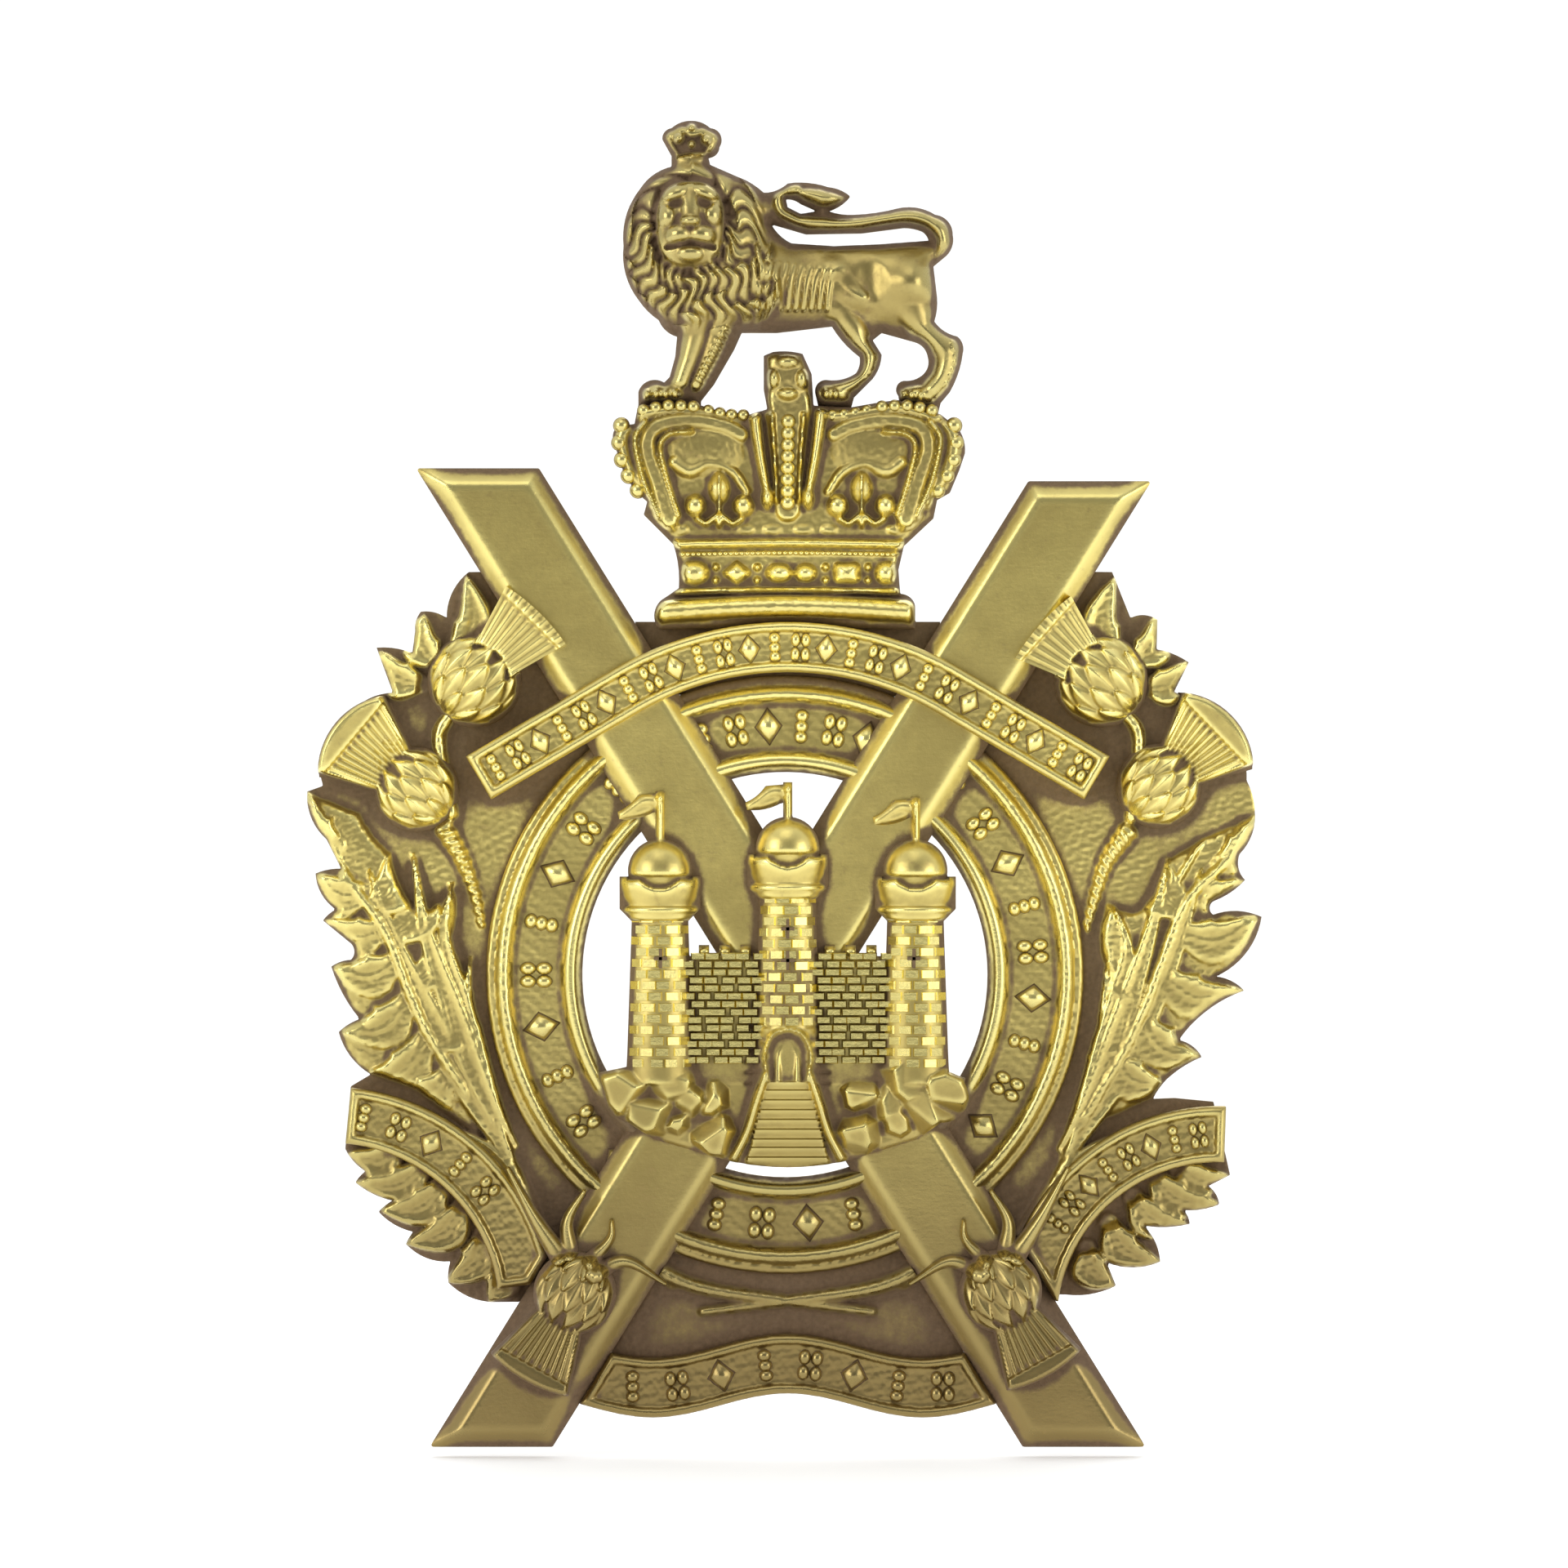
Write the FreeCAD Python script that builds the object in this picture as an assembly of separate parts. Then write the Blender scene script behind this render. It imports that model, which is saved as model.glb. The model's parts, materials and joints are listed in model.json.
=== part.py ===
"""Heraldic cap badge: struck brass pieces soldered together, with two wire loops and a split pin behind.

Millimetres. X runs to the right as the badge is read, Z up, and -Y out of its face. The design is drawn
about the crossing of the saltire; the finished solids are then moved so that the origin lies midway between
the two loops, on the plane of the badge's back. A "depth" is a distance in front of that plane.
"""
import FreeCAD
import Part
import math
import os
from FreeCAD import Vector

OUT = "parts"
FAR = 60.0                   # past every edge of the badge

# depths in front of the back plane
WEB = 0.8                    # the thin ground that joins the pieces
LEAF = 1.5                   # leaf blades
RIB = 0.35                   # rib of a leaf above its blade
CIRCLET_FLOOR = 1.2
RIM = 2.0                    # rims of the circlet
SHEET = 0.8                  # wall of a hollow struck piece
FACE = 2.4                   # flat face of the saltire
BEVEL = 0.9                  # drop and width of the saltire's bevel
SCROLL = 0.5                 # thickness of the upper scroll over the saltire
SCROLL_RIM = 0.25            # raised edges of every scroll
LOW_SCROLL = 2.2             # face of the two side scrolls
END_SCROLL = 1.7             # face of the bottom scroll
CROWN = 2.0                  # body of the crown
CROWN_SWELL = 0.9            # how far its middle arch stands above the body
ROLL_R = 0.75                # of the crown's rolled base
LION = 1.5                   # limbs of the lion
LION_SWELL = 1.5             # how far its trunk and mane stand above the limbs
LION_BACK = 0.4              # from the back plane to the lion's back

# saltire
ARM_ANGLE = 31.8             # of each arm from upright, degrees
ARM_WIDTH = 5.66
ARM_TOP_LEFT = 27.1
ARM_TOP_RIGHT = 26.4
ARM_FOOT = 25.9

# circlet
RING = (-0.15, -0.35)        # centre
RING_OUT = 16.2
RING_IN = 11.0
RING_RIM = 0.7

# scrolls
TOP_SCROLL = (0.0, 0.1)      # centre of the upper scroll's arc
TOP_SCROLL_R = 17.3          # of its middle line
TOP_SCROLL_HALF = 30.5       # half of its arc, degrees
TOP_SCROLL_TAIL = 9.2        # straight length past each end of the arc
TOP_SCROLL_WIDTH = 2.7
LEFT_SCROLL = (-24.8, -18.6)
LEFT_SCROLL_R = 10.7
LEFT_SCROLL_SWEEP = (8.0, 84.5)
RIGHT_SCROLL = (23.3, -19.2)
RIGHT_SCROLL_R = 10.25
RIGHT_SCROLL_SWEEP = (88.0, 172.0)
SIDE_SCROLL_WIDTH = 3.0
END_SCROLL_Z = -22.05        # mean height of the bottom scroll
END_SCROLL_WAVE = 0.65
END_SCROLL_PITCH = 14.6
END_SCROLL_WIDTH = 3.2
SCROLL_EDGE = 0.45           # width of a scroll's raised edge

# castle
CASTLE_X = 6.9               # the side towers' distance from the middle one
TOWER_R = 1.55               # at the top
TOWER_BASE_R = 1.85
TOWER_HEAD_R = 2.2
TOWER_HEAD = 2.4             # height of the drum that widens out above a tower's top
DOME_R = 1.75
DOME_RISE = 0.3              # of the dome's middle above the drum
SIDE_TOWER_TOP = 2.6
MIDDLE_TOWER_TOP = 3.8
LEFT_POLE_TOP = 9.6
RIGHT_POLE_TOP = 9.3
MIDDLE_POLE_TOP = 10.1
CASTLE_FOOT = -6.2
WALL_HEIGHT = 6.9
WALL_THICK = 0.7
FLAGPOLE_R = 0.25
STEPS = 8
STEP_FALL = 0.57

# thistles
UPPER_BULB = 2.55            # radius of the bulbs beside the saltire
OUTER_BULB = 2.3
LOWER_BULB = 2.25
BULB_DEPTH = 0.8             # height of a bulb over its radius
TUFT_DEPTH = 1.2             # of a tuft above what its thistle sits on
FLUTE = 0.22                 # depth and width of the grooves in a tuft

# crown and lion
CROWN_FOOT = 18.4            # height of the crown's foot above the saltire's crossing
CROWN_WIDE = 19.0
CROWN_TALL = 14.9            # to the top of the block over its middle arch
PAWS = 0.81                  # height of the lion's paws, as a share of the crown's
LION_WIDE = 18.4
LION_TALL = 15.5

# loops and pin
LOOP_SPAN = 27.0             # between the two loops
LOOP_ABOVE_CROSSING = 12.7
WIRE = 1.3                   # diameter of a loop's wire
LOOP_WIDE = 4.6              # between the centres of a loop's legs
LOOP_TALL = 7.4              # from the back plane to the top of the loop
SOLDER_R = 1.25
SOLDER_TALL = 0.9
PIN_WIRE = 1.2               # diameter of the closed pin
PIN_CLEAR = 0.12             # between the pin and the loops' far ends
PIN_LENGTH = 38.5
PIN_FROM = -20.5             # tips of the closed pin
PIN_TIP = 1.5                # length of the taper at its tips
PIN_EYE_R = 1.9              # outer radius of the pin's eye
PIN_EYE_WIRE = 0.8
PIN_SPLIT = 0.04             # between the two legs


# ---------------------------------------------------------------- shapes
def at(x, z, depth=0.0):
    """A point of the design at a depth in front of the back plane."""
    return Vector(x, -depth, z)


def wire(points):
    """Closed wire through (x, z) points. A third value bows the edge that follows to its left."""
    edges = []
    for k, point in enumerate(points):
        x0, z0 = point[:2]
        x1, z1 = points[(k + 1) % len(points)][:2]
        bow = point[2] if len(point) > 2 else 0.0
        if bow:
            middle = at((x0 + x1) / 2 - (z1 - z0) * bow, (z0 + z1) / 2 + (x1 - x0) * bow)
            edges.append(Part.Arc(at(x0, z0), middle, at(x1, z1)).toShape())
        else:
            edges.append(Part.makeLine(at(x0, z0), at(x1, z1)))
    return Part.Wire(edges)


def slab(points, low, high):
    """The outline as a plate between two depths."""
    face = Part.Face(wire(points))
    face.translate(Vector(0, -low, 0))
    return face.extrude(Vector(0, low - high, 0))


def block(x0, x1, z0, z1, low, high):
    return Part.makeBox(x1 - x0, high - low, z1 - z0, Vector(x0, -high, z0))


def section(profile, centre):
    """A (radius, depth) profile as a face on the +X side of a centre."""
    corners = [Vector(centre[0] + r, -d, centre[1]) for r, d in profile]
    return Part.Face(Part.makePolygon(corners + corners[:1]))


def turned(shape, centre, degrees):
    """Turned about the depth axis through a centre, anticlockwise as the badge is read."""
    shape.rotate(at(*centre), Vector(0, -1, 0), degrees)
    return shape


def swept(profile, centre, start, stop):
    """A profile turned about a centre, from start to stop degrees above +X."""
    shape = section(profile, centre).revolve(at(*centre), Vector(0, -1, 0), stop - start)
    return turned(shape, centre, start)


def band(centre, inner, outer, low, high, start=0.0, stop=360.0):
    return swept([(inner, low), (outer, low), (outer, high), (inner, high)], centre, start, stop)


def joined(first, *rest):
    """One shape from several that meet."""
    return first.multiFuse(list(rest))


def largest(shape):
    return max(shape.Solids, key=lambda solid: solid.Volume)


def front_of(shape, depth):
    """What is in front of a depth."""
    return shape.common(block(-FAR, FAR, -FAR, FAR, depth, FAR))


def sized(points, wide, tall, nominal):
    """An outline stretched from the (wide, tall) it is drawn at."""
    across, up = wide / nominal[0], tall / nominal[1]
    return [(p[0] * across, p[1] * up) + tuple(p[2:]) for p in points]


def raised(points, dz):
    """An outline moved up."""
    return [(p[0], p[1] + dz) + tuple(p[2:]) for p in points]


def rib(points, width, low, high):
    """A ridge of triangular section along an arc through three points."""
    (x0, z0), (x1, z1), (x2, z2) = points
    path = Part.Wire([Part.Arc(at(x0, z0, low), at(x1, z1, low), at(x2, z2, low)).toShape()])
    tangent = path.Edges[0].tangentAt(path.Edges[0].FirstParameter)
    side = Vector(-tangent.z, 0, tangent.x)
    start = at(x0, z0, low)
    corners = [start + side * (width / 2), start - side * (width / 2), start + Vector(0, low - high, 0)]
    return path.makePipeShell([Part.makePolygon(corners + corners[:1])], True, False)


# ---------------------------------------------------------------- saltire and circlet
def cross_outline(inset):
    """The saltire's twelve corners, its edges moved in by inset."""
    slope = math.tan(math.radians(ARM_ANGLE))
    half = ARM_WIDTH / 2 - inset
    across = half / math.cos(math.radians(ARM_ANGLE))
    up = half / math.sin(math.radians(ARM_ANGLE))
    left, right, foot = ARM_TOP_LEFT - inset, ARM_TOP_RIGHT - inset, -(ARM_FOOT - inset)
    return [
        (0, up), (right * slope - across, right), (right * slope + across, right), (across, 0),
        (-foot * slope + across, foot), (-foot * slope - across, foot), (0, -up),
        (foot * slope + across, foot), (foot * slope - across, foot), (-across, 0),
        (-left * slope - across, left), (-left * slope + across, left),
    ]


def cross_block(low, high, inset=0.0):
    return slab(cross_outline(inset), low, high)


def cross_body():
    """The saltire's outside: straight sides, a bevel and a flat face."""
    shoulder = FACE - BEVEL
    base = wire(cross_outline(0))
    base.translate(Vector(0, -shoulder, 0))
    top = wire(cross_outline(BEVEL))
    top.translate(Vector(0, -FACE, 0))
    return joined(cross_block(0, shoulder), Part.makeLoft([base, top], True, True))


def loop_feet():
    """(x, z) of the four legs of the loops."""
    return [(x, LOOP_ABOVE_CROSSING + z) for x in (-LOOP_SPAN / 2, LOOP_SPAN / 2)
            for z in (-LOOP_WIDE / 2, LOOP_WIDE / 2)]


def footings(depth):
    """Solid pads left in a hollow back where the loops are soldered."""
    pads = [Part.makeCylinder(SOLDER_R + 0.3, depth, at(x, z), Vector(0, -1, 0)) for x, z in loop_feet()]
    return Part.makeCompound(pads)


def saltire():
    """Hollow struck cross, notched on its sides where the circlet passes through."""
    under = FACE - SHEET
    hollow = cross_block(0, under, SHEET).cut(footings(under))
    return cross_body().cut(hollow).cut(band(RING, RING_IN, RING_OUT, 0, under))


def circlet():
    """Flat ring with two raised rims, its rims cut away under the saltire."""
    outer_rim = RING_OUT - RING_RIM
    inner_rim = RING_IN + RING_RIM
    profile = [
        (RING_IN, 0), (RING_OUT, 0), (RING_OUT, CIRCLET_FLOOR), (RING_OUT - 0.3, RIM), (outer_rim, RIM),
        (outer_rim - 0.3, CIRCLET_FLOOR), (inner_rim + 0.3, CIRCLET_FLOOR), (inner_rim, RIM),
        (RING_IN + 0.3, RIM), (RING_IN, CIRCLET_FLOOR),
    ]
    under = CIRCLET_FLOOR - SHEET
    groove = band(RING, inner_rim, outer_rim, 0, under).cut(footings(under))
    return swept(profile, RING, 0, 360).cut(groove).cut(cross_block(FACE - SHEET, FAR))


def ring_block(high):
    return Part.makeCylinder(RING_OUT, high, at(*RING), Vector(0, -1, 0))


def inside_quarter(shape):
    """Cut back to butt against the circlet and the saltire."""
    return shape.cut(ring_block(FAR)).cut(cross_block(0, FAR))


# ---------------------------------------------------------------- scrolls
def channel(radius, width, low, face):
    """Section of a scroll: a sheet with raised edges and two side walls that go down to a depth."""
    inner, outer = radius - width / 2, radius + width / 2
    in_edge, out_edge = inner + SCROLL_EDGE, outer - SCROLL_EDGE
    under, rim = face - SCROLL, face + SCROLL_RIM
    return [
        (inner, low), (in_edge, low), (in_edge, under), (out_edge, under), (out_edge, low), (outer, low),
        (outer, rim), (out_edge, rim), (out_edge, face), (in_edge, face), (in_edge, rim), (inner, rim),
    ]


def arched(profile):
    """A profile along the upper scroll's path: an arc with a straight tail at each end."""
    low, high = 90 - TOP_SCROLL_HALF, 90 + TOP_SCROLL_HALF
    tails = []
    for angle, way in ((low, -1), (high, 1)):
        tail = section(profile, TOP_SCROLL).extrude(Vector(0, 0, way * TOP_SCROLL_TAIL))
        tails.append(turned(tail, TOP_SCROLL, angle))
    return joined(swept(profile, TOP_SCROLL, low, high), *tails)


def plain_section(radius, width, low, high):
    inner, outer = radius - width / 2, radius + width / 2
    return [(inner, low), (outer, low), (outer, high), (inner, high)]


def top_scroll():
    """Arched scroll that rides over the saltire and the circlet's upper rim, on the webs at its ends."""
    shape = arched(channel(TOP_SCROLL_R, TOP_SCROLL_WIDTH, WEB, FACE + SCROLL))
    return largest(shape.cut(cross_body()).cut(ring_block(RIM)))


def top_scroll_block():
    return arched(plain_section(TOP_SCROLL_R, TOP_SCROLL_WIDTH, WEB, FAR))


def side_scroll(centre, radius, sweep):
    """A scroll on the lower leaves of a spray, cut off at the saltire's leg."""
    shape = swept(channel(radius, SIDE_SCROLL_WIDTH, WEB, LOW_SCROLL), centre, *sweep)
    return largest(inside_quarter(shape))


def side_scroll_block(centre, radius, sweep):
    return swept(plain_section(radius, SIDE_SCROLL_WIDTH, WEB, FAR), centre, *sweep)


def wavy_band(half_width, low, high):
    """A band of even height about the bottom scroll's wavy middle line."""
    step = END_SCROLL_PITCH / 8
    count = math.ceil(FAR / 4 / step)
    xs = [k * step for k in range(-count, count + 1)]
    edges = []
    for offset in (half_width, -half_width):
        curve = Part.BSplineCurve()
        heights = [END_SCROLL_Z + offset + END_SCROLL_WAVE * math.cos(2 * math.pi * x / END_SCROLL_PITCH)
                   for x in xs]
        curve.interpolate([at(x, z) for x, z in zip(xs, heights)])
        edges.append(curve.toShape())
    upper, lower = edges
    for k in (0, -1):
        edges.append(Part.makeLine(upper.Vertexes[k].Point, lower.Vertexes[k].Point))
    face = Part.Face(Part.Wire(Part.__sortEdges__(edges)))
    face.translate(Vector(0, -low, 0))
    return face.extrude(Vector(0, low - high, 0))


def bottom_scroll():
    """Wavy scroll between the saltire's feet."""
    half = END_SCROLL_WIDTH / 2
    shape = wavy_band(half, 0, END_SCROLL + SCROLL_RIM)
    shape = shape.cut(wavy_band(half - SCROLL_EDGE, END_SCROLL, FAR))
    shape = shape.cut(wavy_band(half - SCROLL_EDGE, 0, END_SCROLL - SHEET))
    middle = slab([(0, 0), (-FAR * math.tan(math.radians(ARM_ANGLE)), -FAR),
                   (FAR * math.tan(math.radians(ARM_ANGLE)), -FAR)], 0, FAR)
    return largest(inside_quarter(shape.common(middle)))


def bottom_web():
    """Plain ground between the circlet and the bottom scroll, with two stems that cross on it."""
    ground = slab([(-11.5, END_SCROLL_Z), (11.5, END_SCROLL_Z), (11.5, -12.0), (-11.5, -12.0)], 0, WEB)
    stems = [
        rib([(side * -8.4, -16.4), (side * -2.0, -18.3), (side * 6.4, -18.9)], 0.7, WEB - 0.05, WEB + 0.5)
        for side in (-1, 1)
    ]
    shape = joined(ground, *stems).cut(wavy_band(END_SCROLL_WIDTH / 2, 0, FAR))
    return largest(inside_quarter(shape))


# ---------------------------------------------------------------- sprays of leaves
LEFT_EDGE = [
    (-9.0, 21.6), (-17.3, 21.5, -0.12), (-18.5, 19.0, -0.1), (-19.9, 19.35, -0.1), (-20.2, 18.3),
    (-20.35, 17.1, -0.06), (-22.3, 17.4), (-21.4, 14.95, -0.1), (-23.6, 14.0, -0.12), (-25.35, 11.2, -0.06),
    (-25.2, 9.9), (-26.05, 9.6, -0.12), (-25.0, 7.0), (-24.2, 5.4, -0.06), (-25.6, 5.15, -0.12),
    (-24.5, 3.2, -0.06), (-25.2, 2.6), (-23.8, 1.45, 0.25), (-23.7, 0.45, -0.08), (-24.75, 0.1, -0.05),
    (-23.2, -2.75, -0.06), (-24.35, -3.45, -0.1), (-22.6, -5.75), (-23.7, -6.4), (-24.0, -9.8, -0.06),
    (-22.9, -11.0, -0.05), (-23.45, -11.6, -0.06), (-21.4, -12.6, -0.05), (-22.2, -13.2, -0.08),
    (-20.3, -14.3, -0.06), (-20.7, -14.95, -0.12), (-18.3, -15.9, -0.06), (-18.4, -17.05, -0.1),
    (-16.0, -18.1), (-9.0, -18.1),
]
RIGHT_EDGE = [
    (9.0, 21.6), (9.0, -17.7), (15.1, -17.7, -0.08), (17.8, -17.2), (17.3, -15.95, -0.1),
    (20.2, -15.9, -0.1),
    (19.3, -13.95, -0.05), (21.8, -13.85, -0.12), (21.4, -13.1, -0.06), (23.4, -12.8, -0.12), (22.8, -11.8),
    (24.0, -11.2), (23.1, -7.25), (21.0, -7.05), (19.8, -7.1, 0.06), (20.8, -5.8, 0.04),
    (22.45, -4.8, -0.12),
    (21.2, -3.9, 0.08), (24.75, -1.2, -0.1), (23.2, -0.45, -0.13), (25.7, 2.8, -0.1), (23.1, 2.9, 0.3),
    (23.1, 3.65, -0.06), (24.8, 4.8, 0.15), (24.5, 6.2, -0.1), (25.35, 8.3, -0.06), (24.9, 10.2, -0.14),
    (23.2, 13.4, -0.05), (20.95, 15.0), (21.75, 16.6, -0.06), (20.0, 17.3), (20.05, 18.9, -0.15),
    (18.6, 19.0), (17.6, 21.5),
]
LEFT_BLADE = [
    (-23.2, 8.4), (-26.05, 9.6, -0.12), (-25.0, 7.0), (-24.2, 5.4, -0.06), (-25.6, 5.15, -0.12),
    (-24.5, 3.2, -0.06), (-25.2, 2.6), (-23.8, 1.45, 0.25), (-23.7, 0.45, -0.08), (-24.75, 0.1, -0.05),
    (-23.2, -2.75, -0.06), (-24.35, -3.45, -0.1), (-22.6, -5.75), (-20.2, -6.6), (-16.5, -9.4, 0.05),
    (-17.0, -5.4, 0.04), (-17.4, -1.2, 0.04), (-18.5, -3.0, 0.06), (-18.2, 1.6, -0.06), (-18.0, 4.2),
    (-19.9, 3.0, 0.08), (-21.5, 6.2, 0.05),
]
RIGHT_BLADE = [
    (19.8, -7.1, 0.06), (20.8, -5.8, 0.04), (22.45, -4.8, -0.12), (21.2, -3.9, 0.08), (24.75, -1.2, -0.1),
    (23.2, -0.45, -0.13), (25.7, 2.8, -0.1), (23.1, 2.9, 0.3), (23.1, 3.65, -0.06), (24.8, 4.8, 0.15),
    (24.5, 6.2, -0.1), (25.35, 8.3), (22.4, 7.0), (20.6, 5.9, 0.1), (18.8, 3.0, 0.05), (17.3, 3.6, -0.1),
    (17.2, 0.0, -0.08), (17.5, -2.2, 0.05), (16.6, -5.5, 0.05), (14.9, -8.8, 0.05), (17.0, -8.4),
]


def spray(edge, blade, ribs, scroll):
    """Web with a raised leaf and its ribs, cut away over the web where a scroll lies on it."""
    web = inside_quarter(slab(edge, 0, WEB))
    over = [slab(blade, WEB, LEAF)] + [rib(line, 0.7, LEAF - 0.05, LEAF + RIB) for line in ribs]
    leaf = inside_quarter(joined(*over)).common(slab(edge, 0, FAR)).cut(scroll)
    return largest(joined(web, leaf))


def left_spray():
    ribs = [
        ((-24.9, 8.2), (-21.2, 1.5), (-17.8, -5.6)), ((-23.0, -3.6), (-21.2, -4.2), (-19.5, -5.4)),
    ]
    scroll = side_scroll_block(LEFT_SCROLL, LEFT_SCROLL_R, LEFT_SCROLL_SWEEP)
    return spray(LEFT_EDGE, LEFT_BLADE, ribs, scroll)


def right_spray():
    ribs = [
        ((24.4, 7.4), (20.4, 1.0), (17.2, -6.0)), ((24.5, 2.0), (22.0, 0.4), (19.9, -1.6)),
    ]
    scroll = side_scroll_block(RIGHT_SCROLL, RIGHT_SCROLL_R, RIGHT_SCROLL_SWEEP)
    return spray(RIGHT_EDGE, RIGHT_BLADE, ribs, scroll)


# ---------------------------------------------------------------- thistles
def thistle(centre, radius, seat, tuft, depth):
    """A round bulb on its seat with a fluted tuft.

    The tuft is (lean, start, stop, half width at its start, half width at its rim, bow of the rim): the lean
    in degrees clockwise from upright and the rest along or across it from the bulb's centre."""
    lean, start, stop, narrow, wide, bow = tuft
    bulb = Part.makeSphere(radius)
    squash = FreeCAD.Matrix()
    squash.scale(Vector(1.0, BULB_DEPTH, 1.0))
    bulb = bulb.transformGeometry(squash)
    fan = slab([(-narrow, start), (narrow, start), (wide, stop, bow), (-wide, stop)], 0, depth)
    fan = fan.cut(Part.makeCylinder(radius * 0.8, depth, at(0, 0), Vector(0, -1, 0)))
    grooves = []
    for k in range(-4, 5):
        x0, x1 = narrow * k / 5, wide * k / 5
        grooves.append(slab([(x0 - FLUTE / 3, start), (x0 + FLUTE / 3, start), (x1 + FLUTE / 2, stop + 2),
                             (x1 - FLUTE / 2, stop + 2)], depth - FLUTE, depth + 1))
    head = front_of(joined(bulb, fan.cut(Part.makeCompound(grooves))), 0)
    turned(head, (0, 0), -lean)
    head.translate(at(*centre, seat))
    return head


def thistles():
    """The six heads: two beside the saltire's upper arms, two outside them, two on its legs."""
    over_edge = FACE + SCROLL - WEB
    tufts = {
        "upper_left_thistle": ((-17.0, 15.6), UPPER_BULB, (44, 1.6, 4.9, 1.3, 2.25, -0.05), over_edge),
        "outer_left_thistle": ((-20.1, 9.7), OUTER_BULB, (-50, 1.6, 4.5, 1.5, 2.9, -0.2), TUFT_DEPTH),
        "upper_right_thistle": ((17.0, 15.6), UPPER_BULB, (-48, 1.6, 4.3, 1.3, 2.25, -0.05), over_edge),
        "outer_right_thistle": ((20.1, 9.9), OUTER_BULB, (46, 1.6, 4.3, 1.5, 2.9, -0.2), TUFT_DEPTH),
    }
    upper = {name: thistle(centre, radius, WEB, tuft, deep)
             for name, (centre, radius, tuft, deep) in tufts.items()}
    heads = {name: largest(head.cut(cross_body()).cut(top_scroll_block())) for name, head in upper.items()}
    heads["lower_left_thistle"] = thistle((-11.5, -17.5), LOWER_BULB, FACE, (209, 1.4, 5.0, 1.3, 2.4, -0.08),
                                          TUFT_DEPTH)
    heads["lower_right_thistle"] = thistle((11.5, -17.4), LOWER_BULB, FACE, (151, 1.4, 4.8, 1.3, 2.3, -0.08),
                                           TUFT_DEPTH)
    return heads


# ---------------------------------------------------------------- castle
def tower(x, foot, top, pole_top):
    """Half-round tapering tower with a corbelled head, a dome, a flagpole and a pennant."""
    up = Vector(0, 0, 1)
    corbel = TOWER_HEAD_R - TOWER_R
    roof = top + TOWER_HEAD
    body = Part.makeCone(TOWER_BASE_R, TOWER_R, top - foot, at(x, foot, FACE), up)
    head = Part.makeCone(TOWER_R, TOWER_HEAD_R, corbel, at(x, top, FACE), up)
    drum = Part.makeCylinder(TOWER_HEAD_R, TOWER_HEAD - corbel, at(x, top + corbel, FACE), up)
    dome = Part.makeSphere(DOME_R, at(x, roof + DOME_RISE, FACE))
    pole = Part.makeCylinder(FLAGPOLE_R, pole_top - roof, at(x, roof, FACE + FLAGPOLE_R), up)
    flag = slab([(x, pole_top - 0.1), (x - 1.2, pole_top - 0.2, 0.08), (x - 2.3, pole_top - 1.1),
                 (x - 2.2, pole_top - 1.5, -0.1), (x, pole_top - 0.9)], FACE, FACE + 2 * FLAGPOLE_R)
    return joined(body, head, drum, dome, pole, flag)


def curtain_wall(side):
    """Wall between two towers with merlons along its top."""
    inner, outer = TOWER_R - 0.4, CASTLE_X - TOWER_R + 0.3
    top = CASTLE_FOOT + WALL_HEIGHT
    x0, x1 = sorted((side * inner, side * outer))
    wall = block(x0, x1, CASTLE_FOOT, top, FACE, FACE + WALL_THICK)
    pitch = (outer - inner) / 4
    merlons = [
        block(side * (inner + pitch * k) - pitch / 4, side * (inner + pitch * k) + pitch / 4, top - 0.1,
              top + 0.6, FACE, FACE + WALL_THICK)
        for k in (1, 2, 3)
    ]
    return joined(wall, *merlons)


def stairs():
    """Flight that widens downwards, one block for each step."""
    top = CASTLE_FOOT + 0.6
    steps = [
        block(-(1.05 + 0.14 * k), 1.05 + 0.14 * k, top - STEP_FALL * (k + 1), top - STEP_FALL * k + 0.01,
              FACE, FACE + 1.5 - 0.13 * k)
        for k in range(STEPS)
    ]
    return joined(*steps)


def rocks():
    """Low boulders under the towers: distance from the middle, height below the towers' foot, radius."""
    places = [(8.4, 0.7, 1.6), (6.4, 1.1, 1.8), (4.2, 2.4, 1.4), (3.8, 0.6, 1.2)]
    return [Part.makeSphere(r, at(side * x, CASTLE_FOOT - fall, FACE - 0.35 * r))
            for x, fall, r in places for side in (-1, 1)]


def castle():
    """Three towers, two walls, stairs and rocks on one base plate in front of the saltire's crossing."""
    base = slab([(-10.2, -5.6), (-9.6, -7.6), (-7.2, -9.2), (-3.4, -10.3, -0.06), (3.4, -10.3), (7.0, -9.2),
                 (8.9, -7.8), (9.6, -5.9), (CASTLE_X, -4.9), (-CASTLE_X, -4.9)], FACE, FACE + 0.5)
    parts = [
        tower(-CASTLE_X, CASTLE_FOOT, SIDE_TOWER_TOP, LEFT_POLE_TOP),
        tower(CASTLE_X, CASTLE_FOOT, SIDE_TOWER_TOP, RIGHT_POLE_TOP),
        tower(0, CASTLE_FOOT - 0.4, MIDDLE_TOWER_TOP, MIDDLE_POLE_TOP),
        curtain_wall(-1), curtain_wall(1), stairs(),
    ]
    return front_of(joined(base, *parts, *rocks()), FACE)


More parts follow.
